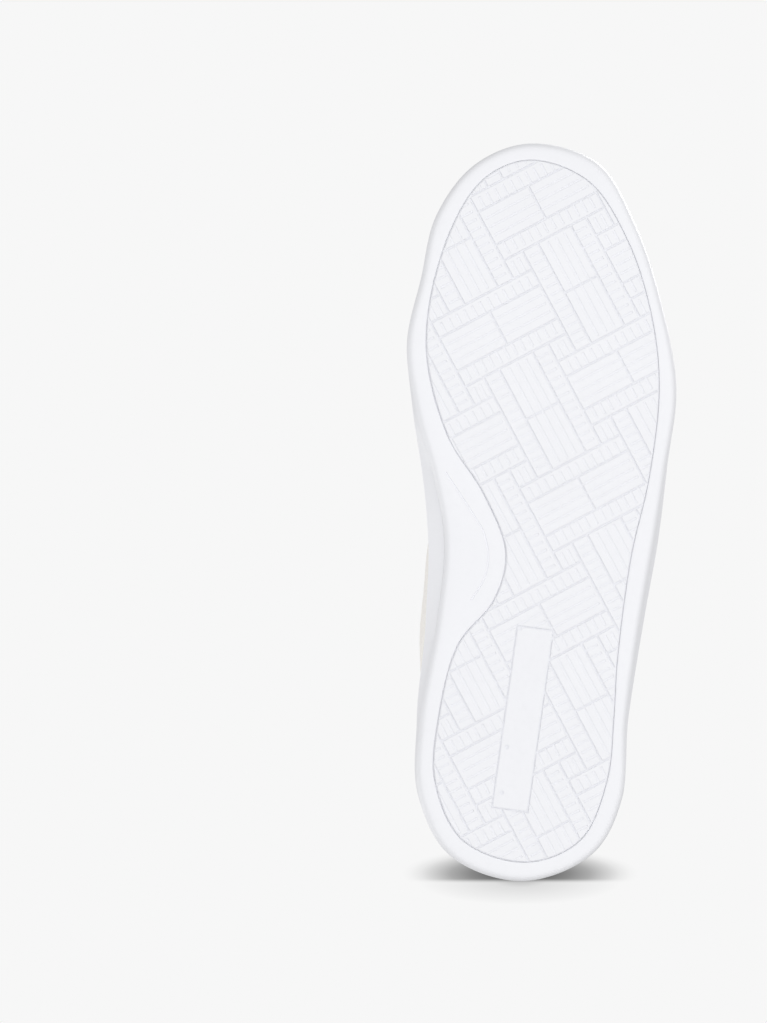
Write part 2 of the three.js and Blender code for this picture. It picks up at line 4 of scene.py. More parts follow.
import bmesh
import bpy
import numpy as np
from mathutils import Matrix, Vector

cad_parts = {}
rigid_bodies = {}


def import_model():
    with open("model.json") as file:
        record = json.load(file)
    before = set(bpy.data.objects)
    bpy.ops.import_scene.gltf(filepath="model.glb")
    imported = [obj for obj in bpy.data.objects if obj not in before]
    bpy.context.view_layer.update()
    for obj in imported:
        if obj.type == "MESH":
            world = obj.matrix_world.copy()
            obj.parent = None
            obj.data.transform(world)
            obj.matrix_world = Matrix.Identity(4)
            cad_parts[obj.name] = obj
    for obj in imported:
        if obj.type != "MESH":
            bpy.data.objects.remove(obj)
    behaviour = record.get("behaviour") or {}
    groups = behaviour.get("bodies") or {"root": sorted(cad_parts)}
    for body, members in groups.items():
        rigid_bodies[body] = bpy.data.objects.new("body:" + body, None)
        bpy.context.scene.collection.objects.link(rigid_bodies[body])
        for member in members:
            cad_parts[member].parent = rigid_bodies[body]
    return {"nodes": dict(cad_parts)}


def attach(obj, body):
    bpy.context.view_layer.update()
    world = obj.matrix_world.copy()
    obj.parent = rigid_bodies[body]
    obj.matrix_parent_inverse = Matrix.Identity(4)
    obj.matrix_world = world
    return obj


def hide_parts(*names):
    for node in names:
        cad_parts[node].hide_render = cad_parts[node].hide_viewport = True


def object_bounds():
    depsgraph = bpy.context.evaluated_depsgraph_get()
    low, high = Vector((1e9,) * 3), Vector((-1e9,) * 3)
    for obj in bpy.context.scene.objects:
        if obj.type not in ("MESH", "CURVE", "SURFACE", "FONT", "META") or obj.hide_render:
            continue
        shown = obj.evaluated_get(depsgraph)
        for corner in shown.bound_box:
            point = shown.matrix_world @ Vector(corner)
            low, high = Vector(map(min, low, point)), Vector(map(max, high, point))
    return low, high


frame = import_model()
cadLow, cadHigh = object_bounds()
scene = bpy.context.scene
mm = 0.001
fullTurn = 2 * math.pi
print("frame loaded, nodes:", len(frame["nodes"]))


# ---- node trees: a socket with arithmetic, and one way to add any node ----
def mathStep(operation, turned=False):
    return lambda self, other: self.graph.math(operation, *((other, self) if turned else (self, other)))


class Wire:
    __add__ = __radd__ = mathStep("ADD")
    __sub__, __rsub__ = mathStep("SUBTRACT"), mathStep("SUBTRACT", turned=True)
    __mul__ = __rmul__ = mathStep("MULTIPLY")

    def __init__(self, graph, socket):
        self.graph, self.socket = graph, socket


def grey(tone):
    return (tone, tone, tone, 1)


class Graph:
    def __init__(self, tree):
        self.tree = tree

    def put(self, kind, settings=None, inputs=None, output=0):
        node = self.tree.nodes.new(kind)
        for name, value in (settings or {}).items():
            if name == "stops":
                self.fillRamp(node.color_ramp, value)
            else:
                setattr(node, name, value)
        self.feed(node, inputs or {})
        return Wire(self, node.outputs[output])

    def feed(self, node, inputs):
        for name, value in inputs.items():
            if isinstance(value, Wire):
                self.tree.links.new(value.socket, node.inputs[name])
            else:
                node.inputs[name].default_value = value

    def fillRamp(self, ramp, stops):
        while len(ramp.elements) < len(stops):
            ramp.elements.new(0.5)
        for element, (place, tone) in zip(ramp.elements, stops):
            element.position, element.color = place, grey(tone)

    def math(self, operation, *values):
        return self.put("ShaderNodeMath", {"operation": operation}, dict(enumerate(values)))

    def vector(self, operation, *values, output=0):
        return self.put("ShaderNodeVectorMath", {"operation": operation}, dict(enumerate(values)), output)

    def mixColour(self, factor, first, second):
        return self.put("ShaderNodeMix", {"data_type": "RGBA"}, {0: factor, 6: first, 7: second}, 2)

    def coordinates(self, kind="Object"):
        return self.put("ShaderNodeTexCoord", output=kind)

    def part(self, vector, axis):
        return self.put("ShaderNodeSeparateXYZ", inputs={0: vector}, output=axis)

    def noise(self, scale, detail=3, roughness=0.55):
        return self.put("ShaderNodeTexNoise", inputs={
            "Vector": self.coordinates(), "Scale": scale, "Detail": detail, "Roughness": roughness})

    def cells(self, scale, feature="F1", vector=None):
        inputs = {"Scale": scale, "Vector": vector or self.coordinates()}
        return self.put("ShaderNodeTexVoronoi", {"feature": feature}, inputs)

    def ramp(self, value, stops):
        return self.put("ShaderNodeValToRGB", {"stops": stops}, {0: value})

    def bump(self, height, distance, strength=1.0):
        inputs = {"Height": height, "Distance": distance, "Strength": strength}
        return self.put("ShaderNodeBump", inputs=inputs)


# ---- materials: each gives its share of the second tint, roughness, bump and even values ----
def mouldedRubber(graph, roughness, grain):
    cloud = graph.noise(28, 4)
    dust = graph.ramp(graph.noise(310, 5, 0.65), [(0.5, 0), (0.78, 1)])
    skin = graph.noise(3800, 2, 0.6) * 0.35 + graph.noise(900, 3) * 0.65
    return (cloud * 0.3 + dust * 0.22, roughness + 0.12 * cloud + 0.1 * dust, graph.bump(skin, grain),
            {"Specular IOR Level": 0.42})


def grainedLeather(graph, roughness, relief):
    shift = graph.put("ShaderNodeVectorMath", {"operation": "SCALE"},
                      {0: graph.noise(420, 2), "Scale": 0.0012})
    where = graph.vector("ADD", graph.coordinates(), shift)
    large = graph.ramp(graph.cells(780, "DISTANCE_TO_EDGE", where), [(0.0, 0), (0.16, 1)])
    small = graph.ramp(graph.cells(1900, "DISTANCE_TO_EDGE", where), [(0.0, 0), (0.2, 1)])
    pebble = large * 0.7 + small * 0.3
    patch = graph.noise(34, 4)
    return ((1 - pebble) * 0.42 + patch * 0.3, roughness + 0.16 * patch + 0.14 * (1 - large),
            graph.bump(pebble * 0.8 + graph.noise(260, 2) * 0.5, relief, 0.75),
            {"Specular IOR Level": 0.45, "Coat Weight": 0.06, "Coat Roughness": 0.35})


def knittedLining(graph, scale):
    loops = graph.cells(scale, "SMOOTH_F1")
    fuzz = graph.noise(4200, 3, 0.7)
    return (loops * 0.75 + graph.noise(60, 3) * 0.25, 0.82 + 0.12 * fuzz,
            graph.bump((1 - loops) * 0.7 + fuzz * 0.3, 0.00022, 0.9),
            {"Sheen Weight": 0.35, "Sheen Roughness": 0.5, "Specular IOR Level": 0.2})


def cellFoam(graph):
    bubbles, patch = graph.cells(1500), graph.noise(90, 3)
    return bubbles * 0.6 + patch * 0.3, 0.86 + 0.1 * patch, graph.bump(bubbles, 0.0002, 0.8), {}


def pressedBoard(graph):
    strand = graph.noise(700, 6, 0.75)
    fleck = graph.ramp(graph.noise(2400, 2), [(0.55, 0), (0.7, 1)])
    return strand * 0.6 + fleck * 0.3, 0.88 + 0.08 * strand, graph.bump(strand, 0.00015, 0.7), {}


def braidedCotton(graph):
    around, along = (graph.part(graph.coordinates("UV"), axis) for axis in (0, 1))
    oneWay = graph.math("SINE", (around * 12 + along * 0.72) * fullTurn)
    otherWay = graph.math("SINE", (around * 12 - along * 0.72) * fullTurn)
    strands = graph.math("MAXIMUM", oneWay, otherWay) * 0.5 + 0.5
    fuzz = graph.noise(5200, 3, 0.7)
    return ((1 - strands) * 0.8 + fuzz * 0.15, 0.78 + 0.14 * fuzz,
            graph.bump(strands * 0.8 + fuzz * 0.2, 0.0003, 0.9),
            {"Sheen Weight": 0.25, "Specular IOR Level": 0.25})


def twistedThread(graph):
    fibre = graph.noise(6500, 3, 0.7)
    return (fibre * 0.5 + graph.noise(220, 2) * 0.2, 0.55 + 0.25 * fibre,
            graph.bump(fibre, 0.00008, 0.8), {"Specular IOR Level": 0.4})


def mouldedPlastic(graph):
    cloud = graph.noise(240, 4)
    scuff = graph.ramp(graph.noise(1700, 4, 0.7), [(0.52, 0), (0.8, 1)])
    return (cloud * 0.3 + scuff * 0.3, 0.3 + 0.16 * cloud + 0.18 * scuff,
            graph.bump(scuff * 0.5 + cloud * 0.5, 0.00005, 0.6), {"Specular IOR Level": 0.5})


def newFinish(name):
    material = bpy.data.materials.new(name)
    material.use_nodes = True
    return material, Graph(material.node_tree), material.node_tree.nodes["Principled BSDF"]


def finish(name, pattern, tint, second, *sizes):
    material, graph, shader = newFinish(name)
    share, roughness, normal, even = pattern(graph, *sizes)
    colour = graph.mixColour(share, (*tint, 1), (*second, 1))
    graph.feed(shader, {"Base Color": colour, "Roughness": roughness, "Normal": normal, **even})
    return material


treadRubber = finish("treadRubber", mouldedRubber, (0.905, 0.91, 0.94), (0.83, 0.835, 0.865), 0.5, 0.00004)
cupRubber = finish("cupRubber", mouldedRubber, (0.91, 0.915, 0.945), (0.85, 0.855, 0.885), 0.42, 0.00003)
upperLeather = finish("upperLeather", grainedLeather, (0.885, 0.865, 0.835), (0.72, 0.695, 0.655),
                      0.4, 0.0002)
trimLeather = finish("trimLeather", grainedLeather, (0.9, 0.885, 0.862), (0.74, 0.72, 0.69), 0.36, 0.00016)
liningKnit = finish("liningKnit", knittedLining, (0.8, 0.77, 0.725), (0.6, 0.565, 0.52), 1150)
footbedKnit = finish("footbedKnit", knittedLining, (0.78, 0.755, 0.715), (0.56, 0.53, 0.49), 900)
creamFoam = finish("creamFoam", cellFoam, (0.79, 0.74, 0.62), (0.66, 0.6, 0.49))
fibreBoard = finish("fibreBoard", pressedBoard, (0.7, 0.66, 0.6), (0.5, 0.46, 0.4))
laceBraid = finish("laceBraid", braidedCotton, (0.9, 0.895, 0.875), (0.62, 0.61, 0.59))
seamThread = finish("seamThread", twistedThread, (0.86, 0.845, 0.81), (0.62, 0.605, 0.57))
eyeletPlastic = finish("eyeletPlastic", mouldedPlastic, (0.86, 0.85, 0.83), (0.72, 0.71, 0.69))
print("materials made:", len(bpy.data.materials))


# ---- the last: outlines and the surface of the upper, in millimetres ----
last = {
    "toeLift": 9, "liftStart": -72, "liftEnd": -150, "rim": 25, "heelRise": 3,
    "axis": -7, "foot": 11.1, "straight": 0.12, "inset": 6.9, "waistBulge": 5.8,
}


def smooth(low, high, value):
    share = np.clip((np.asarray(value, float) - low) / (high - low), 0, 1)
    return share * share * (3 - 2 * share)


def unit(vectors):
    return vectors / np.linalg.norm(vectors, axis=-1, keepdims=True)


def between(a, b, c, d, t):
    # on the smooth curve from b to c, whose neighbours are a and d
    return b + 0.5 * t * (c - a + t * (2 * a - 5 * b + 4 * c - d + t * (3 * b - a - 3 * c + d)))


def runAlong(points, axis=0):
    # the distance of each point from the start of its line
    steps = np.linalg.norm(np.diff(points, axis=axis), axis=-1)
    return np.concatenate([np.zeros_like(np.take(steps, [0], axis)), np.cumsum(steps, axis)], axis)


def lift(y):
    share = np.maximum(0, (last["liftStart"] - y) / (last["liftStart"] - last["liftEnd"]))
    return last["toeLift"] * share * share


def rimTop(y):
    return last["rim"] + last["heelRise"] * smooth(20, 120, y)


def throughPoints(points, perSpan, closed=False):
    # centripetal curve through points; the finished line has perSpan steps a span
    points = np.array(points, float)
    if closed:
        before, after, beyond = (np.roll(points, n, 0) for n in (1, -1, -2))
        here = points
    else:
        ends = np.vstack([2 * points[0] - points[1], points, 2 * points[-1] - points[-2]])
        before, here, after, beyond = ends[:-3], ends[1:-2], ends[2:-1], ends[3:]
    root = [np.linalg.norm(b - a, axis=1)[:, None] ** 0.5 for a, b in
            ((before, here), (here, after), (after, beyond))]
    d0, d1, d2 = [np.maximum(r, 1e-4) for r in root]
    first = ((here - before) / d0 - (after - before) / (d0 + d1) + (after - here) / d1) * d1
    second = ((after - here) / d1 - (beyond - here) / (d1 + d2) + (beyond - after) / d2) * d1
    t = (np.arange(perSpan) / perSpan)[None, :, None]
    a, b, m, n = (x[:, None, :] for x in (here, after, first, second))
    line = a + m * t + (3 * (b - a) - 2 * m - n) * t ** 2 + (2 * (a - b) + m + n) * t ** 3
    line = line.reshape(-1, points.shape[1])
    return np.vstack([line, points[:1] if closed else points[-1:]])


class Outline:
    def __init__(self, points):
        self.line = throughPoints(points, 60, closed=True)
        run = runAlong(self.line)
        self.run = run / run[-1]

    def plain(self, s):
        share = np.mod(s, 1)
        return np.stack([np.interp(share, self.run, self.line[:, k]) for k in (0, 1)], -1)

    def inward(self, s):
        along = unit(self.plain(s + 0.0008) - self.plain(s - 0.0008))
        return np.stack([-along[..., 1], along[..., 0]], -1)

    def at(self, s, inset):
        s = np.asarray(s, float)
        return self.plain(s) + self.inward(s) * np.broadcast_to(inset, s.shape)[..., None]


soleOutline = Outline([
    (-4.5, -150), (23.5, -142), (38.5, -117), (48.6, -86), (55.1, -50), (50.8, -17), (46.2, 12),
    (40.6, 44), (35, 84), (32.9, 117), (21, 139), (-7.5, 150), (-37, 139.5), (-49.6, 115),
    (-49.2, 84), (-42.1, 44), (-39.2, 12), (-43.3, -13), (-50.8, -41), (-54.3, -68), (-48.5, -95),
    (-42.5, -120), (-27, -141),
])
rimOutline = Outline([
    (-4.5, -149), (23.5, -141), (38.5, -116), (48.6, -86), (55, -50), (51.6, -17), (48, 12),
    (42.3, 44), (36, 84), (33, 117), (21, 138.6), (-7.5, 149), (-37, 139), (-50, 115),
    (-50.4, 84), (-48.6, 44), (-47.2, 12), (-48, -13), (-52, -41), (-54, -68), (-48.5, -95),
    (-42.5, -119), (-27, -140),
])
treadOutline = Outline([
    (-4.5, -142.8), (19.2, -134.3), (35.1, -110), (45, -78), (47.8, -49), (43.6, -13), (36.5, 18),
    (30.9, 60), (29.4, 84), (26.7, 109), (16, 133), (-6, 142), (-31.8, 133), (-42.9, 109),
    (-41.5, 84), (-33.5, 54), (-19, 36), (-14.1, 17), (-23, -7), (-37.8, -31), (-46.4, -68),
    (-38.1, -110), (-23, -135),
])

# half width, y and z of the top edge, lower handle's rise and bulge, upper handle's reach, drop, pinch
stations = np.array([
    (0, -54, 64, 30, 2, 0.6, 7, 0),
    (3.6, -53.4, 64, 30, 2, 0.58, 7, 0),
    (7, -51.5, 64.4, 28, 2.5, 0.56, 7, 0),
    (10, -47, 66, 27, 3, 0.5, 7, 0),
    (12, -38, 69.5, 28, 4, 0.45, 8, 0),
    (13.5, -20, 78, 30, 5, 0.38, 11, 0),
    (15, 0, 88.5, 33, 6, 0.3, 16, 0),
    (17.5, 20, 99.5, 34, 7, 0.22, 23, 0),
    (29, 48, 86.5, 29, 8, 0.1, 24, 0),
    (34.5, 80, 74, 22, 8, 0, 20, 1),
    (31.5, 110, 77, 23, 8, 0, 22, 2),
    (18, 133.5, 86, 26, 7.5, 0, 26, 3.5),
    (0, 141, 92, 28, 7.5, 0, 28, 4.5),
])
stationCount = len(stations) - 1


def folded(s):
    return 0.5 - np.abs(np.mod(s, 1) - 0.5)


def stationValue(column, position, odd=False):
    index = np.minimum(np.floor(position).astype(int), stationCount - 1)

    def at(n):
        kept = np.where(n < 0, -n, np.where(n > stationCount, 2 * stationCount - n, n))
        value = stations[kept, column]
        return np.where((kept != n) & odd, -value, value)

    return between(*(at(index + k) for k in (-1, 0, 1, 2)), position - index)


def waistBulge(s, y, v):
    # the leather hangs over the wall along the inner waist
    along = smooth(-30, 24, y) * (1 - smooth(40, 100, y)) * (np.mod(s, 1) > 0.5)
    return last["waistBulge"] * along * smooth(0.12, 0.42, v) * (1 - smooth(0.45, 0.85, v))


def upperPoint(s, v):
    s, v = np.broadcast_arrays(np.asarray(s, float), np.asarray(v, float))
    position = folded(s) * 2 * stationCount
    side = np.where(np.mod(s, 1) > 0.5, -1, 1)
    y, z, rise, bulge, reach, drop, pinch = (stationValue(k, position) for k in range(1, 8))
    half = stationValue(0, position, True)
    foot = rimOutline.at(s, last["inset"])
    footZ = rimTop(foot[..., 1]) - 1
    join = lambda plan, height: np.concatenate([plan, np.asarray(height)[..., None]], -1)
    p0 = join(foot, footZ)
    p1 = join(rimOutline.at(s, last["inset"] - bulge), footZ + rise)
    p3 = np.stack([last["axis"] + side * half, y, z], -1)
    p2 = p3 + (join(foot, z) - p3) * reach[..., None]
    p2[..., :2] += rimOutline.inward(s) * pinch[..., None]
    p2[..., 2] -= drop
    t = np.clip((v - last["straight"]) / (1 - last["straight"]), 0, 1)[..., None]
    bent = p0 * (1 - t) ** 3 + 3 * p1 * t * (1 - t) ** 2 + 3 * p2 * t ** 2 * (1 - t) + p3 * t ** 3
    bent[..., :2] -= rimOutline.inward(s) * waistBulge(s, foot[..., 1], v)[..., None]
    low = np.clip(v / last["straight"], 0, 1)
    upright = join(foot, last["foot"] + (footZ - last["foot"]) * low)
    return np.where((v < last["straight"])[..., None], upright, bent)


def upperNormal(s, v):
    step = 0.004
    alongS = upperPoint(s + step, v) - upperPoint(s - step, v)
    alongV = upperPoint(s, np.minimum(v + 3 * step, 1)) - upperPoint(s, np.maximum(v - 3 * step, 0))
    return unit(np.cross(alongS, alongV))


def offsetPoint(s, v, offset):
    s, v, offset = np.broadcast_arrays(*(np.asarray(x, float) for x in (s, v, offset)))
    return upperPoint(s, v) + upperNormal(s, v) * offset[..., None]


layers = {
    "leather": 2.4, "cloth": 1.2, "collarFoam": 6.4, "stiffener": 1.9, "seamLow": 0.195, "seamRun": 0.067,
}


def throatSeam(v):
    return layers["seamLow"] - layers["seamRun"] * np.asarray(v, float)


def fillDepth(s, v):
    station = folded(s) * 2 * stationCount
    collar = smooth(6.9, 8.4, station) * smooth(0.5, 0.76, v) * (1 - 0.5 * smooth(0.86, 1, v))
    heel = smooth(9, 9.5, station) * (1 - smooth(0.55, 0.66, v))
    toe = (1 - smooth(2.5, 3, station)) * (1 - smooth(0.52, 0.6, v))
    return layers["collarFoam"] * collar + layers["stiffener"] * np.maximum(heel, toe)


def liningOutside(s, v):
    return -(layers["leather"] + fillDepth(s, v))


def liningInside(s, v):
    return liningOutside(s, v) - layers["cloth"]


# ---- mesh helpers ----
def newObject(name, data):
    made = bpy.data.objects.new(name, data)
    scene.collection.objects.link(made)
    return made


def meshObject(name, points, edges=(), faces=()):
    mesh = bpy.data.meshes.new(name)
    mesh.from_pydata(np.asarray(points).tolist(), edges, faces)
    return newObject(name, mesh)


def raised(points):
    points = np.array(points, float).reshape(-1, 3)
    points[:, 2] += lift(points[:, 1])
    return points


def repaint(piece, material):
    piece.data.materials.clear()
    piece.data.materials.append(material)


def makePiece(name, points, faces, material=None, toeSpring=True, uvs=None):
    # points in millimetres; uvs, if given, is one pair for each corner of each face
    points = raised(points) if toeSpring else np.array(points, float).reshape(-1, 3)
    piece = meshObject(name, points * mm, [], faces)
    if uvs is not None:
        layer = piece.data.uv_layers.new(name="UVMap")
        layer.data.foreach_set("uv", np.asarray(uvs, np.float32).ravel())
    if material:
        repaint(piece, material)
    return piece


def reworked(piece, change):
    work = bmesh.new()
    work.from_mesh(piece.data)
    change(work)
    work.to_mesh(piece.data)
    work.free()
    return piece


def tidyMesh(piece, sharp=40, merge=1e-6):
    # merged doubles, outward faces, smooth shading broken at sharp edges
    def join(work):
        bmesh.ops.remove_doubles(work, verts=work.verts, dist=merge)
        bmesh.ops.recalc_face_normals(work, faces=work.faces)

    reworked(piece, join)
    piece.data.shade_smooth()
    piece.data.set_sharp_from_angle(angle=math.radians(sharp))
    return piece


def gridSolid(name, outer, inner, material, sharp=40):
    # two grids of points with a wall between their borders
    columns, rows = outer.shape[:2]
    count = columns * rows
    at = lambda i, j: i * rows + j
    quads = [[at(i, j), at(i + 1, j), at(i + 1, j + 1), at(i, j + 1)]
             for i in range(columns - 1) for j in range(rows - 1)]
    loop = [at(i, 0) for i in range(columns)] + [at(columns - 1, j) for j in range(1, rows)]
    loop += [at(i, rows - 1) for i in range(columns - 2, -1, -1)] + [at(0, j) for j in range(rows - 2, 0, -1)]
    walls = [(a, b, b + count, a + count) for a, b in zip(loop, loop[1:] + loop[:1])]
    faces = quads + [[k + count for k in quad] for quad in quads] + walls
    points = np.concatenate([outer.reshape(-1, 3), inner.reshape(-1, 3)])
    return tidyMesh(makePiece(name, points, faces, material), sharp)


def ringSolid(name, rings, ends="toe", material=None, sharp=40, toeSpring=True, uvs=None):
    # closed rings one after another; ends are flat, joined, or laid in rungs from the toe or a side
    rings = np.array(rings, float)
    levels, count = rings.shape[:2]
    at = lambda level, i: level % levels * count + i % count
    faces = [[at(k, i), at(k, i + 1), at(k + 1, i + 1), at(k + 1, i)]
             for k in range(levels if ends == "joined" else levels - 1) for i in range(count)]
    skip = 1 if ends == "side" else 0
    for k in (0, levels - 1):
        if ends == "flat":
            faces.append([at(k, i) for i in range(count)])
        elif ends != "joined":
            for i in range(count // 2 - skip):
                rung = (i, i + 1, count - skip - i - 1, count - skip - i)
                faces.append(list(dict.fromkeys(at(k, j) for j in rung)))
    return tidyMesh(makePiece(name, rings, faces, material, toeSpring, uvs), sharp)


def turned(name, profile, sides, ends="joined"):
    # a profile of (radius, height) pairs turned round Z
    turn = np.arange(sides) / sides * fullTurn
    rings = [[(r * math.cos(a), r * math.sin(a), z) for a in turn] for r, z in profile]
    return ringSolid(name, rings, ends, None, 35, toeSpring=False)


def drill(name, radius, depth, sides=16):
    return turned(name, [(radius, -depth), (radius, depth)], sides, "flat")


def outlineRing(outline, inset, height, count=320):
    s = np.arange(count) / count
    plan = outline.at(s, inset(s) if callable(inset) else inset)
    z = height(plan[:, 1]) if callable(height) else np.full(count, float(height))
    return np.column_stack([plan, z])


def evaluatedCopy(piece):
    # the piece with its modifiers worked into a plain mesh
    bpy.context.view_layer.update()
    depsgraph = bpy.context.evaluated_depsgraph_get()
    mesh = bpy.data.meshes.new_from_object(piece.evaluated_get(depsgraph), depsgraph=depsgraph)
    piece.modifiers.clear()
    mesh.name = piece.name
    piece.data = mesh
    return piece


def combine(piece, other, operation):
    cut = piece.modifiers.new("cut", "BOOLEAN")
    cut.operation, cut.solver, cut.object = operation, "MANIFOLD", other
    evaluatedCopy(piece)
    bpy.data.objects.remove(other)
    return piece


def readPoints(mesh):
    points = np.zeros(len(mesh.vertices) * 3)
    mesh.vertices.foreach_get("co", points)
    return points.reshape(-1, 3)


def writePoints(mesh, points):
    mesh.vertices.foreach_set("co", points.ravel())
    mesh.update()


# ---- Geometry Nodes trees ----
def newTree(name, **inputs):
    tree = bpy.data.node_groups.new(name, "GeometryNodeTree")
    for label, kind in inputs.items():
        tree.interface.new_socket(name=label, in_out="INPUT", socket_type="NodeSocket" + kind)
    tree.interface.new_socket(name="Geometry", in_out="OUTPUT", socket_type="NodeSocketGeometry")
    graph = Graph(tree)
    source = tree.nodes.new("NodeGroupInput")
    return graph, {label: Wire(graph, source.outputs[label]) for label in inputs}


def closeTree(graph, geometry, material):
    plain = graph.put("GeometryNodeRealizeInstances", inputs={"Geometry": geometry})
    painted = graph.put("GeometryNodeSetMaterial", inputs={"Geometry": plain, "Material": material})
    sink = graph.tree.nodes.new("NodeGroupOutput")
    graph.tree.links.new(painted.socket, sink.inputs[0])
    return graph.tree


def growWith(piece, tree, values):
    modifier = piece.modifiers.new("grow", "NODES")
    modifier.node_group = tree
    for item in tree.interface.items_tree:
        if item.in_out == "INPUT" and item.name in values:
            modifier[item.identifier] = values[item.name]
    evaluatedCopy(piece)
    return piece


def stitchTree():
    # short rounded stitches along a line
    graph, given = newTree("stitchRun", Geometry="Geometry", Pitch="Float", Length="Float", Radius="Float",
                           Thread="Material")
    line = graph.put("GeometryNodeMeshToCurve", inputs={0: given["Geometry"]})
    even = graph.put("GeometryNodeResampleCurve", {"mode": "LENGTH"},
                     {"Curve": line, "Length": given["Pitch"]})
    bead = graph.put("GeometryNodeMeshUVSphere", inputs={"Segments": 7, "Rings": 6, "Radius": 1.0})
    turn = graph.put("FunctionNodeAlignRotationToVector", {"axis": "Z"},
                     {"Vector": graph.put("GeometryNodeInputTangent")})
    size = graph.put("ShaderNodeCombineXYZ", inputs={
        0: given["Radius"], 1: given["Radius"], 2: given["Length"] * 0.5})
    run = graph.put("GeometryNodeInstanceOnPoints", inputs={
        "Points": even, "Instance": bead, "Rotation": turn, "Scale": size})
    return closeTree(graph, graph.put("GeometryNodeSetShadeSmooth", inputs={0: run}), given["Thread"])


def scatterTree():
    # one shape on each point, with its Z axis along the point's "facing"
    graph, given = newTree("placeOnPoints", Geometry="Geometry", Shape="Object", Finish="Material")
    facing = graph.put("GeometryNodeInputNamedAttribute", {"data_type": "FLOAT_VECTOR"}, {"Name": "facing"})
    turn = graph.put("FunctionNodeAlignRotationToVector", {"axis": "Z"}, {"Vector": facing})
    shape = graph.put("GeometryNodeObjectInfo", inputs={"Object": given["Shape"]}, output="Geometry")
    placed = graph.put("GeometryNodeInstanceOnPoints", inputs={
        "Points": given["Geometry"], "Instance": shape, "Rotation": turn})
    return closeTree(graph, placed, given["Finish"])


def latticeTree():
    # a square lattice, turned an eighth, with one tread cell on each point
    graph, given = newTree("treadLattice", Geometry="Geometry", Cell="Object", Cells="Int", Spacing="Float",
                           Turn="Float", Origin="Vector", Rubber="Material")
    reach = given["Spacing"] * (given["Cells"] - 1)
    grid = graph.put("GeometryNodeMeshGrid", inputs={
        "Size X": reach, "Size Y": reach, "Vertices X": given["Cells"], "Vertices Y": given["Cells"]})
    eighth = graph.put("GeometryNodeTransform", inputs={0: grid, "Rotation": (0, 0, math.pi / 4)})
    cell = graph.put("GeometryNodeObjectInfo", inputs={"Object": given["Cell"]}, output="Geometry")
    cells = graph.put("GeometryNodeInstanceOnPoints", inputs={"Points": eighth, "Instance": cell})
    turn = graph.put("ShaderNodeCombineXYZ", inputs={2: given["Turn"]})
    placed = graph.put("GeometryNodeTransform", inputs={
        0: cells, "Rotation": turn, "Translation": given["Origin"]})
    return closeTree(graph, placed, given["Rubber"])


stitchRun = stitchTree()
placeOnPoints = scatterTree()
treadLattice = latticeTree()


def linesPiece(name, lines):
    # open lines of points as a mesh of edges
    points = np.concatenate(lines)
    edges, start = [], 0
    for line in lines:
        edges += [(start + k, start + k + 1) for k in range(len(line) - 1)]
        start += len(line)
    return meshObject(name, raised(points) * mm, edges)


def finished(piece, body, slot, *nodes):
    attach(piece, body)
    if nodes:
        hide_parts(*nodes)
    return piece


def sew(name, lines, pitch, length, radius, body="shoe"):
    run = growWith(linesPiece(name, lines), stitchRun, {
        "Pitch": pitch * mm, "Length": length * mm, "Radius": radius * mm, "Thread": seamThread})
    return finished(run, body, "thread")


def scatter(name, points, facing, shape, material=None):
    piece = meshObject(name, np.asarray(points) * mm)
    layer = piece.data.attributes.new("facing", "FLOAT_VECTOR", "POINT")
    layer.data.foreach_set("vector", np.asarray(facing, np.float32).ravel())
    growWith(piece, placeOnPoints, {"Shape": shape, "Finish": material})
    bpy.data.objects.remove(shape)
    return tidyMesh(piece, 35)


# ---- tread: basket weave of grooved blocks, a heel plaque and the plate behind them ----
tread = {
    "blockLength": 46.4, "blockWidth": 29.4, "turn": -28, "origin": (-30.8, -50.4), "cells": 9,
    "groove": 0.8, "strip": 7.1, "rail": 1.3, "rungPitch": 3.45, "rungGap": 0.8, "rungDepth": 0.4,
    "ribs": 4, "ribGap": 0.75, "ribDepth": 0.34, "band": 1.2, "ribSteps": 9,
    "squareBars": 3, "squareGap": 0.9, "squareBand": 1.4,
    "lug": 0.8, "plateTop": 3.7, "margin": 0.45, "softening": 0.14, "bite": 0.3,
    "plaqueCentre": (-7.5, 84), "plaqueTurn": 98, "plaqueSize": (74, 14.4), "plaqueMoat": 0.45,
    "pins": ((-8.5, 47.3), (-13.9, 95.3), (-15.9, 113.8), (-10.9, 121.7)), "pinRadius": 0.9,
    "pinDepth": 0.7, "keptX": 95, "keptY": 190,
}


def reliefSolid(xs, ys, sunk, depth, back):
    # a closed block over a grid of cells; a sunk cell lies depth above the ground face
    points, faces, seen = [], [], {}

    def point(x, y, z):
        key = (round(x, 4), round(y, 4), round(z, 4))
        if key not in seen:
            seen[key] = len(points)
            points.append(key)
        return seen[key]

    def wall(a, b, low, high):
        faces.append([point(*a, low), point(*b, low), point(*b, high), point(*a, high)])

    columns, rows = len(xs) - 1, len(ys) - 1
    inside = lambda i, j: 0 <= i < columns and 0 <= j < rows
    for i in range(columns):
        for j in range(rows):
            corners = [(xs[i], ys[j]), (xs[i + 1], ys[j]), (xs[i + 1], ys[j + 1]), (xs[i], ys[j + 1])]
            level = depth if sunk(i, j) else 0
            faces.append([point(*c, level) for c in corners])
            faces.append([point(*c, back) for c in reversed(corners)])
            for k, (di, dj) in enumerate(((0, -1), (1, 0), (0, 1), (-1, 0))):
                a, b = corners[k], corners[(k + 1) % 4]
                rim = not inside(i + di, j + dj)
                if rim:
                    wall(a, b, depth, back)
                if level == 0 and (rim or sunk(i + di, j + dj)):
                    wall(a, b, 0, depth)
    return points, faces


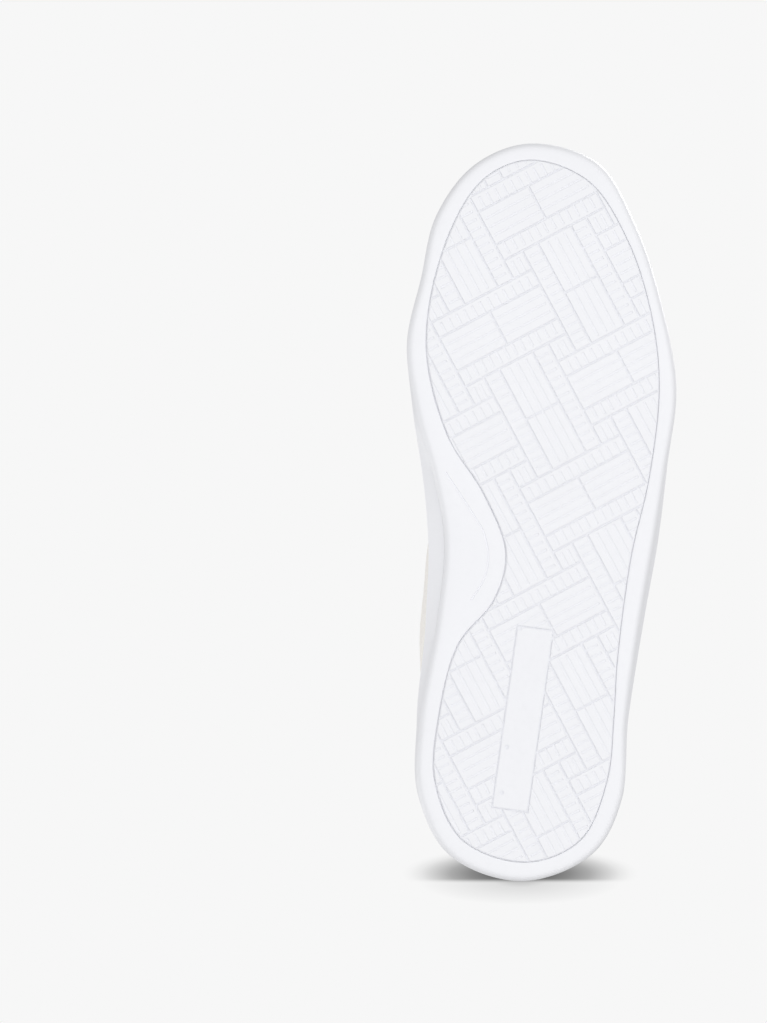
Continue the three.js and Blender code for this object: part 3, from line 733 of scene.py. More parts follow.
def spaced(low, high, count, gapWidth):
    # edges of count bars with gaps of gapWidth between them
    bar = (high - low - (count - 1) * gapWidth) / count
    starts = [low + k * (bar + gapWidth) for k in range(count)]
    return [edge for start in starts for edge in (start, start + bar)]


def moved(points, centre, turn):
    c, s = math.cos(turn), math.sin(turn)
    return [(centre[0] + c * x - s * y, centre[1] + s * x + c * y, z) for x, y, z in points]


def softenGround(piece, level, softening, segments):
    # outward faces, and softened edges where the piece meets the ground
    def soften(work):
        bmesh.ops.recalc_face_normals(work, faces=work.faces)
        edges = [e for e in work.edges if e.calc_face_angle(0) > 0.5
                 and all(abs(v.co.z - level * mm) < 1e-7 for v in e.verts)]
        if softening:
            bmesh.ops.bevel(work, geom=edges, offset=softening * mm, segments=segments, affect="EDGES")

    return reworked(piece, soften)


def treadCell():
    # one long block, one block across it and the two small squares of the lattice
    length, width, groove = tread["blockLength"], tread["blockWidth"], tread["groove"]
    pitch, square = (length + width) / 2, (length - width) / 2
    run, edge, back = length - groove, (width - groove) / 2, tread["lug"] + tread["bite"]
    pad = width / 2 - tread["strip"] - groove / 2
    rungEdges = spaced(-run / 2, run / 2, round(run / tread["rungPitch"]), tread["rungGap"])
    ribEdges = spaced(-pad, pad, tread["ribs"], tread["ribGap"])
    ribEnds = np.linspace(groove / 2, run / 2, tread["ribSteps"])
    ribEnds[-2] = run / 2 - tread["band"]  # a narrow band closes the outer end of the pad
    solids = []
    for side in (1, -1):
        levels = sorted(side * level for level in (pad + groove, edge - tread["rail"], edge))
        rail, band = (1, len(ribEnds) - 2) if side > 0 else (0, 0)
        solids.append(reliefSolid(rungEdges, levels, lambda i, j, kept=rail: i % 2 == 1 and j != kept,
                                  tread["rungDepth"], back))
        solids.append(reliefSolid(sorted(side * ribEnds), ribEdges,
                                  lambda i, j, kept=band: j % 2 == 1 and i != kept, tread["ribDepth"], back))
    places = [(solid, (length / 2 + shift, -width / 2), turn) for solid in solids
              for shift, turn in ((0, 0), (pitch, math.pi / 2))]
    half = (square - groove) / 2
    small = reliefSolid(spaced(-half, half, tread["squareBars"], tread["squareGap"]),
                        [-half, -half + tread["squareBand"], half],
                        lambda i, j: i % 2 == 1 and j == 1, tread["ribDepth"], back)
    places += [(small, (pitch + square / 2, y), 0) for y in (-(width + square / 2), square / 2)]
    points, faces = [], []
    for (solidPoints, solidFaces), centre, turn in places:
        faces += [[len(points) + k for k in face] for face in solidFaces]
        points += moved(solidPoints, centre, turn)
    return softenGround(makePiece("treadCell", points, faces, toeSpring=False), 0, tread["softening"], 1)


def bevelledBar(name, grow, low, high, softening=0.0, steps=30):
    # the heel plaque's bar, grow wider all round
    length, width = (size + 2 * grow for size in tread["plaqueSize"])
    xs = np.linspace(-length / 2, length / 2, steps + 1)
    points, faces = reliefSolid(xs, [-width / 2, width / 2], lambda i, j: False, (high - low) / 2, high - low)
    points = [(x, y, z + low) for x, y, z in points]
    points = moved(points, tread["plaqueCentre"], math.radians(tread["plaqueTurn"]))
    return softenGround(makePiece(name, points, faces, toeSpring=False), low, softening, 2)


def dropFar(work):
    # blocks wholly off the sole go before the cut
    stack = [v for v in work.verts
             if abs(v.co.x) > tread["keptX"] * mm or abs(v.co.y) > tread["keptY"] * mm]
    gone = set()
    while stack:
        vertex = stack.pop()
        if vertex not in gone:
            gone.add(vertex)
            stack.extend(e.other_vert(vertex) for e in vertex.link_edges)
    bmesh.ops.delete(work, geom=list(gone), context="VERTS")
    bmesh.ops.remove_doubles(work, verts=work.verts, dist=1e-7)


def makeTread():
    cell = treadCell()
    pitch = (tread["blockLength"] + tread["blockWidth"]) / 2
    blocks = growWith(linesPiece("tread", [np.zeros((2, 3))]), treadLattice, {
        "Cell": cell, "Cells": tread["cells"], "Spacing": pitch * math.sqrt(2) * mm,
        "Turn": math.radians(tread["turn"]), "Rubber": treadRubber,
        "Origin": (tread["origin"][0] * mm, tread["origin"][1] * mm, 0)})
    bpy.data.objects.remove(cell)
    reworked(blocks, dropFar)
    flat = readPoints(blocks.data)
    flat[:, 2] += lift(flat[:, 1] / mm) * mm
    writePoints(blocks.data, flat)
    lug, top = tread["lug"], tread["plateTop"]
    field = [outlineRing(treadOutline, tread["margin"], z) for z in (-1, lug + 1)]
    combine(blocks, ringSolid("field", field), "INTERSECT")
    combine(blocks, bevelledBar("clearing", tread["plaqueMoat"], -1, 3), "DIFFERENCE")
    plate = [outlineRing(treadOutline, inset, z) for inset, z in
             ((0.2, lug), (0, lug + 0.2), (0, top - 0.2), (0.3, top))]
    plaque = bevelledBar("plaque", 0, 0, 2.2, 0.35)
    combine(blocks, combine(ringSolid("plate", plate), plaque, "UNION"), "UNION")
    dots = [(x, y, 0) for x, y in tread["pins"]]
    pin = drill("pin", tread["pinRadius"], tread["pinDepth"], 14)
    combine(blocks, scatter("pins", dots, [(0, 0, 1)] * len(dots), pin, treadRubber), "DIFFERENCE")
    repaint(blocks, treadRubber)
    return finished(tidyMesh(blocks, 28, 2e-7), "shoe", "tread_rubber", "outsole")


print("tread:", len(makeTread().data.polygons), "faces")


# ---- cupsole: wall with a sewn channel, closed against the upper, open below for the tread ----
cup = {
    "wall": 4.0, "floor": 6.2, "bottom": 0.5, "overlayInset": 5.25, "plainInset": 6.6, "channel": 4.2,
    "channelWidth": 1.9, "channelDepth": 0.75, "seamLateral": 0.2, "seamMedial": 0.3,
    "seamDepth": 1.3, "waistIn": 1.8,
    "archLine": ((-38.6, -16), (-37.7, -14.4), (-33.9, -8.7), (-27.1, 1.8), (-23.5, 7.8), (-21.5, 16),
                 (-21.5, 21.3), (-23.1, 27.3), (-25.6, 31.8), (-28.4, 36)),
    "archGroove": 0.42, "archSteps": 8, "stitches": (4.5, 3.6, 0.46),  # pitch, length and radius
}


def cupInner(s):
    # the lip reaches in to the leather, and less where the toe cap or the counter lies on it
    share = folded(s)
    overlay = np.maximum(1 - smooth(0.182, 0.188, share), smooth(0.36, 0.368, share))
    return cup["plainInset"] + (cup["overlayInset"] - cup["plainInset"]) * overlay


def treadGap(s):
    medial = smooth(0.48, 0.56, s) * (1 - smooth(0.94, 1, s))
    return cup["seamLateral"] + (cup["seamMedial"] - cup["seamLateral"]) * medial


def waistInset(s):
    # the wall stands further in along the inner waist, where the leather bulges past it
    y = rimOutline.plain(s)[..., 1]
    medial = smooth(0.52, 0.56, np.mod(s, 1)) * (1 - smooth(0.93, 0.97, np.mod(s, 1)))
    return cup["waistIn"] * medial * smooth(-22, 26, y) * (1 - smooth(46, 84, y))

def sweep(name, line, half, thick, sides, material=None, widths=None):
    # an oval tube along a line; widths gives each point's direction of width
    tangent = unit(np.gradient(line, axis=0))
    across = np.tile((0.0, 0.0, 1.0), (len(line), 1)) if widths is None else np.array(widths)
    across = unit(across - tangent * np.sum(across * tangent, axis=1, keepdims=True))
    up = np.cross(tangent, across)
    turn = np.arange(sides) / sides * fullTurn
    squared = 0.8  # flatter than an ellipse
    wide, high = (np.sign(x) * np.abs(x) ** squared for x in (np.cos(turn), np.sin(turn)))
    half, thick = (np.broadcast_to(x, len(line))[:, None, None] for x in (half, thick))
    rings = line[:, None] + across[:, None] * half * wide[None, :, None]
    rings = rings + up[:, None] * thick * high[None, :, None]
    run = runAlong(line)
    uvs = [((i + di) / sides, run[k + dk]) for k in range(len(line) - 1) for i in range(sides)
           for di, dk in ((0, 0), (1, 0), (1, 1), (0, 1))]
    uvs += [(0.5, 0)] * (2 * sides)
    return ringSolid(name, rings, "flat", material, 60, toeSpring=False, uvs=uvs)


def makeCupsole():
    below = lambda drop: (lambda y: rimTop(y) - drop)
    moreThan = lambda shape, more: (lambda s: shape(s) + more)
    onTread = lambda more, height: outlineRing(treadOutline, lambda s: -treadGap(s) - more, height)
    partWay = lambda first, second, share: first + (second - first) * share
    top, end = (cup["channel"] + side * cup["channelWidth"] / 2 for side in (-1, 1))
    deep, bottom, seam = 0.5 + cup["channelDepth"], cup["bottom"], cup["seamDepth"]
    wall = [
        (1.5, below(0)), (1.0, below(0.25)), (0.6, below(0.9)), (0.5, below(1.8)), (0.5, below(top)),
        (0.62, below(top + 0.12)), (deep - 0.1, below(top + 0.35)), (deep, below(cup["channel"])),
        (deep - 0.1, below(end - 0.35)), (0.62, below(end - 0.12)), (0.5, below(end)), (0.42, below(8.5)),
        (0.3, below(12.5)), (0.24, 9.6), (0.55, 9.3), (0.55, 8.9), (0.16, 8.6),
    ]
    rings = [outlineRing(soleOutline, cup["wall"], cup["floor"]), outlineRing(rimOutline, cup["wall"], 10.8),
             outlineRing(rimOutline, cupInner, 10.95)]
    rings += [outlineRing(rimOutline, moreThan(cupInner, more), below(drop))
              for more, drop in ((0, 0.9), (-0.4, 0.25), (-0.8, 0))]
    rings += [outlineRing(rimOutline, moreThan(waistInset, inset), height) for inset, height in wall]
    low = outlineRing(soleOutline, 0, 4.5)
    rings += [partWay(rings[-1], low, 0.5), low]
    rings += [outlineRing(soleOutline, inset, z) for inset, z in
              ((0.22, 3.2), (0.7, 2.0), (1.35, 1.15), (2.0, 0.7), (2.9, 0.5))]
    edge = onTread(0.35, bottom)
    rings += [partWay(rings[-1], edge, share) for share in (0.25, 0.5, 0.75)] + [edge]
    rings += [onTread(more, z) for more, z in ((0.1, bottom + 0.12), (0, bottom + 0.4), (0, seam))]
    rings += [outlineRing(treadOutline, -0.03, z) for z in (seam + 0.1, 4.0)]
    piece = ringSolid("cupsole_rubber", rings, "toe", cupRubber, 32)
    arch = throughPoints([(x, y, bottom) for x, y in cup["archLine"]], cup["archSteps"])
    combine(piece, sweep("archGroove", arch, cup["archGroove"], cup["archGroove"], 8), "DIFFERENCE")
    repaint(piece, cupRubber)
    return finished(tidyMesh(piece, 32, 2e-7), "shoe", "cup_rubber", "cupsole")


print("cupsole:", len(makeCupsole().data.polygons), "faces")
around = np.linspace(0, 1, 1200)
seamRing = rimOutline.at(around, 0.5 + cup["channelDepth"] * 0.75 + waistInset(around))
seamRing = np.column_stack([seamRing, rimTop(seamRing[:, 1]) - cup["channel"]])
sew("cupsole_stitching", [seamRing], *cup["stitches"])


# ---- leather panels ----
leather = {"edge": 0.45, "seamInset": 2.0, "seamDepth": 0.22, "seamWidth": 0.55, "base": 1.6,
           "secondSeam": 2.6, "ripple": 0.09, "threadLift": 0.2,
           "stitches": (3.0, 2.3, 0.36)}  # pitch, length and radius


def borderSteps(length, count):
    # shares from 0 to 1, close together near both borders
    near = np.array([0, 0.1, 0.25, 0.5, 0.9, 1.4, 2.0, 2.6, 3.2, 4.2])
    near = near[near < length * 0.45] / length
    middle = np.linspace(near[-1], 1 - near[-1], count)[1:-1]
    return np.concatenate([near, middle, 1 - near[::-1]])


def leatherPanel(name, region, material, sewn="", double=False):
    # sewn names the borders that are stitched and rounded: l, r, b and t for from, to, low and high
    def value(key, *at):
        return region[key](*at) if callable(region[key]) else np.full(np.shape(at[0]), float(region[key]))

    length, height, columns, rows = region["sizes"]
    across, up = np.meshgrid(borderSteps(length, columns), borderSteps(height, rows), indexing="ij")
    v = up.copy()
    for _ in range(5):  # the borders depend on each other, so the grid settles in a few rounds
        s = value("from", v) * (1 - across) + value("to", v) * across
        v = value("low", s) * (1 - up) + value("high", s) * up
    outside = value("outside", s, v)
    flat = upperPoint(s, v)
    runS, runV = runAlong(flat, 0), runAlong(flat, 1)
    away = {"l": runS, "r": runS[-1:] - runS, "b": runV, "t": runV[:, -1:] - runV}
    near = np.full(s.shape, 99.0)
    for side in sewn:
        near = np.minimum(near, away[side])
    edge, seam = leather["edge"], leather["seamInset"]
    relief = -edge * (1 - np.sqrt(np.maximum(0, 1 - (1 - np.clip(near / edge, 0, 1)) ** 2)))
    for inset in (seam, seam + leather["secondSeam"])[:2 if double else 1]:
        relief = relief - leather["seamDepth"] * np.exp(-((near - inset) / leather["seamWidth"]) ** 2)
    ripple = leather["ripple"] * np.sin(s * 151 + v * 9) * np.sin(v * 23 + s * 37)
    top = offsetPoint(s, v, outside + relief + ripple * np.clip(near / 6, 0, 1))
    piece = gridSolid(name, top, offsetPoint(s, v, value("inside", s, v)), material)
    return piece, {"s": s, "v": v, "outside": outside, "near": away}


def seamLine(grid, border, inset, skip=0.0):
    # a line at an even distance from one border, on top of the leather
    upright = border in "lr"
    away, *values = (x.T if upright else x for x in
                     (grid["near"][border], grid["s"], grid["v"], grid["outside"]))
    line = []
    for k, distance in enumerate(away):
        order = np.argsort(distance)
        line.append([np.interp(inset, distance[order], value[k][order]) for value in values])
    line, keep = np.array(line), True
    for other in "bt" if upright else "lr":
        keep &= grid["near"][other].mean(0 if upright else 1) >= skip - 1e-9
    s, v, outside = line[keep].T
    return offsetPoint(s, v, outside - leather["seamDepth"] + leather["threadLift"])


def mirroredRegion(region):
    flip = lambda setting: (lambda at: -setting(at)) if callable(setting) else -setting
    fold = lambda setting: (lambda s, *v: setting(np.abs(s), *v)) if callable(setting) else setting
    return {key: (flip if key in ("from", "to") else fold)(value) for key, value in region.items()}


eyelets = {"count": 6, "first": 0.158, "last": 0.284, "share": 0.9, "bore": 2.3, "barrel": 2.9, "flange": 4.1,
           "bottom": -2.0, "flangeBottom": 2.5, "top": 3.1, "rounding": 0.28}
eyeletPlaces = np.linspace(eyelets["first"], eyelets["last"], eyelets["count"])


def eyeletFrame(s):
    s = np.atleast_1d(float(s))
    centre = upperPoint(s, eyelets["share"])[0]
    normal = upperNormal(s, np.full(1, eyelets["share"]))[0]
    inward = upperPoint(s, 1.0)[0] - centre
    inward -= normal * inward.dot(normal)
    centre[2] += lift(centre[1])
    return centre, normal, unit(inward)


def atEyelets(name, side, shape, material=None):
    centres, normals, _ = zip(*(eyeletFrame(side * s) for s in eyeletPlaces))
    return scatter(name, centres, normals, shape, material)


def punch(piece, side):
    combine(piece, atEyelets("drills", side, drill("drill", eyelets["barrel"] + 0.15, 6, 28)), "DIFFERENCE")
    return tidyMesh(piece, 35, 2e-7)


def quarterLap(s, v):
    # 1 where the quarter's front edge lies on the vamp
    return 1 - smooth(-0.003, 0.0015, s - throatSeam(v))


def tabLap(s, v):
    # 1 where the tab's foot lies on the counter
    return 1 - smooth(0.605, 0.655, v)


def seamOf(side, more):
    # the throat's seam on one side, further back by more
    return lambda v: side * (throatSeam(v) + more)


overlap = 0.011
base = leather["base"]
overlay = {"outside": 1.35, "inside": 0.05}
# sizes are length and height, which space the border steps, and the columns and rows between them
vampRegion = {"from": seamOf(-1, -0.0008), "to": seamOf(1, -0.0008), "low": 0.0, "high": 1.0,
              "outside": 0.0, "inside": -base, "sizes": (270, 100, 110, 46)}
quarterRegion = {"from": seamOf(1, -overlap), "to": 0.4998, "low": 0.0, "high": 1.0,
                 "outside": lambda s, v: 0.7 * quarterLap(s, v),
                 "inside": lambda s, v: -base + (base + 0.06) * quarterLap(s, v), "sizes": (240, 85, 100, 40)}
eyestayRegion = {"from": seamOf(1, 0.001), "to": 0.300, "low": 0.8, "high": 1.0,
                 "outside": 2.0, "inside": 0.75, "sizes": (112, 19, 70, 10)}
capRegion = {"from": seamOf(-1, -overlap - 0.001), "to": seamOf(1, -overlap - 0.001), "low": 0.02,
             "high": lambda s: 0.5 - 6 * s * s, "sizes": (235, 50, 90, 22), **overlay}
counterRegion = {"from": 0.37, "to": 0.63, "low": 0.02, "sizes": (165, 45, 70, 22),
                 "high": lambda s: 0.17 + 0.43 * smooth(0.37, 0.475, folded(s)), **overlay}
tabRegion = {"from": 0.462, "to": 0.538, "low": 0.572, "high": 0.985, "sizes": (42, 28, 22, 16),
             "outside": lambda s, v: 1.35 + 1.05 * tabLap(s, v),
             "inside": lambda s, v: 0.05 + 1.4 * tabLap(s, v)}


breathing = {"rows": 6, "low": 0.62, "high": 0.9, "across": 7, "pitch": 0.0105, "radius": 0.9, "depth": 3}


def perforate(piece):
    # rows of breathing holes over the forefoot, between the toe cap and the throat
    middle = breathing["across"] // 2
    spots = [(s, v) for row, v in
             enumerate(np.linspace(breathing["low"], breathing["high"], breathing["rows"]))
             for s in (np.arange(breathing["across"]) - middle + 0.5 * (row % 2)) * breathing["pitch"]]
    s, v = np.array(spots).T
    hole = drill("hole", breathing["radius"], breathing["depth"], 14)
    holes = scatter("holes", raised(upperPoint(s, v)), upperNormal(s, v), hole)
    combine(piece, holes, "DIFFERENCE")
    return tidyMesh(piece, 35, 2e-7)


def makeLeathers():
    vamp, _ = leatherPanel("vamp_leather", vampRegion, upperLeather, "t")
    finished(perforate(vamp), "shoe", "leather", "vamp")
    lines = []
    for name, side in (("lateral", 1), ("medial", -1)):
        for part, region, material, sewn, seams in (
                ("quarter", quarterRegion, upperLeather, "lt", (("l", 1.9, 0), ("l", 4.3, 0))),
                ("eyestay", eyestayRegion, trimLeather, "lrbt",
                 (("l", 2.0, 2.0), ("r", 2.0, 2.0), ("b", 2.0, 2.0), ("t", 1.6, 2.0)))):
            sided = region if side > 0 else mirroredRegion(region)
            piece, grid = leatherPanel(f"{part}_leather_{name}", sided, material, sewn)
            finished(punch(piece, side), "shoe", "leather", f"{part}_{name}")
            lines += [seamLine(grid, *seam) for seam in seams]
    for node, region, sewn, double, seams in (
            ("toe_cap", capRegion, "lrt", True, (("t", 2.0, 2.0), ("t", 4.6, 4.6))),
            ("heel_counter", counterRegion, "lrt", True,
             (("t", 2.0, 2.0), ("t", 4.6, 4.6), ("l", 2.0, 2.0), ("r", 2.0, 2.0))),
            ("heel_tab", tabRegion, "lrbt", False, [(border, 2.0, 2.0) for border in "lrbt"])):
        piece, grid = leatherPanel(node + "_leather", region, trimLeather, sewn, double)
        finished(piece, "shoe", "leather", node)
        lines += [seamLine(grid, *seam) for seam in seams]
    sew("upper_stitching", lines, *leather["stitches"])


makeLeathers()
print("leather panels and their stitching made")


# ---- eyelets ----
def makeEyelets(name, side):
    bore, barrel, flange = eyelets["bore"], eyelets["barrel"], eyelets["flange"]
    bottom, low, top, rounding = (eyelets[key] for key in ("bottom", "flangeBottom", "top", "rounding"))
    profile = [(bore, bottom), (barrel - 0.1, bottom), (barrel, bottom + 0.1), (barrel, low - 0.4),
               (flange - 0.1, low - 0.4), (flange, low - 0.2), (flange, top - rounding - 0.1),
               (flange - rounding, top), (bore + 0.5, top), (bore + 0.12, top - 0.12), (bore, top - 0.5)]
    piece = atEyelets(f"eyelets_{name}", side, turned("eyelet", profile, 28), eyeletPlastic)
    nodes = [f"eyelet_{name}_{i + 1}" for i in range(eyelets["count"])]
    return finished(piece, "shoe", "eyelet_plastic", *nodes)


makeEyelets("lateral", 1)
makeEyelets("medial", -1)


# ---- lace: straight bars over the throat, its ends tucked in ----
lace = {"radius": 1.6, "turn": 2.5, "bar": (2.9, 0.85), "bore": (1.55, 1.4), "bend": (2.3, 1.0),
        "lean": (1.8, 1.2), "end": 5, "under": 0.4, "perSpan": 9, "step": 0.9, "sides": 14}


def lacePasses(s, side, beside, last):
    # nine stations from under one eyelet, up through it and over the edge: place, width's way and size
    centre, normal, inward = eyeletFrame(side * s)
    along = eyeletFrame(side * beside)[0] - centre
    stays = np.linalg.norm(along) < 1
    way = inward if stays else along
    way = unit(way - normal * way.dot(normal))
    heelward = np.cross(normal, inward)
    heelward *= np.sign(heelward[1])
    over, under, turn = eyelets["top"] + 0.1, eyelets["bottom"] - 0.1, lace["turn"]
    flat = heelward if stays else inward
    reach = lace["end"] if stays else lace["under"] * np.linalg.norm(along)
    run = [(0, under - turn, reach, flat, "bar"), (0, under - turn, turn, flat, "bend"),
           (0, under - 0.3 * turn, 0.3 * turn, flat, "bore"), (0, under, 0, flat + heelward, "bore"),
           (0, over, 0, heelward, "bore"), (0.3 * turn, over + 0.7 * turn, 0, heelward, "lean"),
           (turn, over + turn, 0, heelward, "bend")]
    run = [(centre + inward * out + normal * up + way * aside, wide, lace[size])
           for out, up, aside, wide, size in run]
    for v in (0.955, 1.0):
        point = offsetPoint(side * s, v, eyelets["flangeBottom"] + lace["radius"] + 1.3)
        run.append((point + np.array([0, 0, lift(point[1]) + 0.8]), heelward, lace["bar"]))
    return run[::-1] if last else run


def makeLace():
    run = []
    for i, s in enumerate(eyeletPlaces):
        for end, side in enumerate((1, -1) if i % 2 == 0 else (-1, 1)):
            beside = min(i + 1, eyelets["count"] - 1) if end else max(i - 1, 0)
            run += lacePasses(s, side, eyeletPlaces[beside], end)
    points, widths, sizes = (np.array(values) for values in zip(*run))
    line = throughPoints(points, lace["perSpan"])
    at = lambda places, known, values: np.column_stack([np.interp(places, known, part) for part in values.T])
    place, steps = np.arange(len(line)) / lace["perSpan"], runAlong(line)
    even = np.arange(0, steps[-1], lace["step"])  # long bars are as fine as the turns
    across, size = (at(even, steps, at(place, np.arange(len(points)), values)) for values in (widths, sizes))
    half, thick = size.T
    piece = sweep("lace_braid", at(even, steps, line), half, thick, lace["sides"], laceBraid, across)
    print("lace length in mm:", round(float(steps[-1]), 1))
    return finished(piece, "shoe", "lace_cotton", "lace")


makeLace()


# ---- soft parts ----
swelling = {
    "frames": 20, "pressure": 4.0, "stiffness": 8, "collarCap": 2.2, "tongueCap": 2.4,
}


def swell(piece, sewn, cap):
    # the pad is blown up gently by Cloth while its sewn points stay where they are
    rest = readPoints(piece.data)
    piece.vertex_groups.new(name="sewn").add(np.flatnonzero(sewn).tolist(), 1.0, "REPLACE")
    cloth = piece.modifiers.new("swell", "CLOTH")
    stiffness = swelling["stiffness"]
    for name, value in {
        "quality": 6, "mass": 0.2, "vertex_group_mass": "sewn", "use_pressure": True,
        "uniform_pressure_force": swelling["pressure"], "tension_stiffness": stiffness,
        "compression_stiffness": stiffness, "shear_stiffness": stiffness / 2, "bending_stiffness": 0.3,
    }.items():
        setattr(cloth.settings, name, value)
    cloth.settings.effector_weights.gravity = 0
    cloth.point_cache.frame_start, cloth.point_cache.frame_end = 1, swelling["frames"]
    for step in range(1, swelling["frames"] + 1):
        scene.frame_set(step)
    shift = readPoints(piece.evaluated_get(bpy.context.evaluated_depsgraph_get()).data) - rest
    length = np.linalg.norm(shift, axis=1, keepdims=True)
    shift *= np.minimum(1, cap * mm / np.maximum(length, 1e-9))
    piece.modifiers.clear()
    piece.vertex_groups.clear()
    scene.frame_set(1)
    writePoints(piece.data, rest + shift)
    print(piece.name, "swelled by up to mm:", round(float(length.max()) / mm, 2))
    finer = piece.modifiers.new("finer", "SUBSURF")
    finer.levels = finer.render_levels = 1
    return evaluatedCopy(piece)


collar = {"from": 0.302, "low": 0.53, "roll": 0.955, "rollRise": 0.04, "columns": 150, "rows": 15,
          "back": -1.75, "fullness": 0.94, "seam": 0.88, "seamPull": 0.9, "seamWidth": 0.018}


def makeCollarPad():
    # foam and knit round the ankle, pulled in along the seam below its top roll
    rows, seam = collar["rows"], collar["seam"]
    rise = np.linspace(collar["low"], collar["roll"], rows)
    arc = np.linspace(0, math.pi, 8)[1:-1]
    v = np.concatenate([rise, collar["roll"] + collar["rollRise"] * np.sin(arc), rise[::-1]])
    pull = collar["seamPull"] * np.exp(-((rise - seam) / collar["seamWidth"]) ** 2)
    sections = []
    for place in np.linspace(collar["from"], 1 - collar["from"], collar["columns"]):
        front = liningInside(place, rise) * collar["fullness"] + pull
        middle, radius = (collar["back"] + front[-1]) / 2, (collar["back"] - front[-1]) / 2
        offset = np.concatenate([np.full(rows, collar["back"]), middle + radius * np.cos(arc), front[::-1]])
        sections.append(offsetPoint(np.full(len(v), place), np.minimum(v, 0.999), offset))
    held = np.zeros(len(v), bool)
    held[:rows + 1] = held[-3:] = True
    held[-rows:] |= np.abs(rise[::-1] - seam) < collar["seamWidth"]
    sewn = np.tile(held, (collar["columns"], 1))
    sewn[:3] = sewn[-3:] = True
    piece = ringSolid("collar_pad", sections, "side", liningKnit, 75)
    swell(piece, sewn.ravel(), swelling["collarCap"])
    return finished(piece, "shoe", "lining_fabric", "collar_foam")


makeCollarPad()
lining = {"low": 0.015, "outside": liningOutside, "inside": liningInside, "from": seamOf(1, 0.0015)}
for name, node, more in (
        ("vamp_lining_cloth", "vamp_lining", {
            "from": seamOf(-1, -0.0015), "to": seamOf(1, -0.0015), "high": 0.995,
            "sizes": (250, 95, 70, 24)}),
        ("quarter_lining_cloth", "collar_lining", {
            "to": lambda v: 1 - throatSeam(v) - 0.0015, "sizes": (440, 60, 120, 20),
            "high": lambda s: 0.79 - 0.24 * smooth(0.298, 0.325, folded(s))})):
    finished(leatherPanel(name, {**lining, **more}, liningKnit)[0], "shoe", "lining_fabric", node)

# ---- tongue: a padded cushion with a leather face ----
tongue = {
    "depth": -8.4, "crown": 7.1, "flank": 6.5, "shoulder": 5.0, "wing": 0.75, "rows": 9, "from": 0.14,
    "to": 0.288, "top": 26, "base": 16, "baseDrop": 6.5, "thickness": 6.6, "rim": 2.0, "face": 1.1,
    "seam": 4.5, "seamWidth": 1.3, "border": 1.2, "sink": -3.6, "stitches": (2.7, 2.1, 0.3),
    "crownFlat": 0.3, "crownDrop": 2.5, "topFlat": 0.62, "topDrop": 9.0, "rounding": 0.5, "underFace": 0.06,
}


def refine(values, factor, axis):
    # smooth curve through a grid's points along one axis
    values = np.moveaxis(values, axis, 0)
    ends = np.concatenate([[2 * values[0] - values[1]], values, [2 * values[-1] - values[-2]]])
    parts = [between(ends[:-3], ends[1:-2], ends[2:-1], ends[3:], t) for t in np.arange(factor) / factor]
    made = np.stack(parts, 1).reshape(-1, *values.shape[1:])
    return np.moveaxis(np.concatenate([made, values[-1:]]), 0, axis)


def tongueSurface():
    up, middle = np.array([0, 0, 1.0]), 5  # each row has eleven points
    wing = tongue["wing"] + (1 - tongue["wing"]) * np.array([0, 0.35, 0.7, 1])
    rows = []
    for s in np.linspace(tongue["from"], tongue["to"], tongue["rows"]):
        lateral = offsetPoint(np.full(4, s), wing, tongue["depth"])
        medial = offsetPoint(np.full(4, -s), wing, tongue["depth"])[::-1]
        centre = [lateral[3] * (1 - share) + medial[0] * share + up * tongue[height] for share, height in
                  ((0.32, "flank"), (0.5, "crown"), (0.68, "flank"))]
        lateral[3] += up * tongue["shoulder"]
        medial[0] += up * tongue["shoulder"]
        rows.append(np.vstack([lateral, *centre, medial]))

    def stretch(near, beyond, length, narrow):
        return near + (near[middle] - near) * narrow + unit(near[middle] - beyond[middle]) * length

    def rounded(row, beyond, flat, drop):
        # brings the row nearer to its mean height and bends its ends back
        way = unit(row[middle] - beyond[middle])
        row = row * (1, 1, 1 - flat) + up * flat * row[:, 2].mean()
        aside = np.abs(np.arange(len(row)) - middle) / middle
        return row - way * (drop * aside ** 2.2)[:, None]

    base = stretch(rows[0], rows[1], tongue["base"], 0.1) - up * tongue["baseDrop"]
    crown = stretch(rows[-1], rows[-2], tongue["top"] * 0.55, 0.02)
    top = stretch(crown, rows[-1], tongue["top"] * 0.45, 0.14)
    crown, top = (rounded(crown, rows[-1], tongue["crownFlat"], tongue["crownDrop"]),
                  rounded(top, crown, tongue["topFlat"], tongue["topDrop"]))
    control = np.array([base, *rows, crown, top])
    control[:, 1:-1] = (control[:, :-2] + 2 * control[:, 1:-1] + control[:, 2:]) / 4
    return refine(refine(control, 5, 0), 4, 1)


def frontOf(cushion, points, ways):
    # where lines along ways meet the cushion's front, as the swelling left it
    target = newObject("reach", cushion.data.copy())
    bpy.context.view_layer.update()
    hits = []
    for point, way in zip(points.reshape(-1, 3), ways.reshape(-1, 3)):
        hit, place, _, _ = target.ray_cast(Vector((point + way * 14) * mm), -Vector(way))
        hits.append(np.array(place) / mm if hit else point)
    bpy.data.objects.remove(target)
    return np.array(hits).reshape(points.shape)


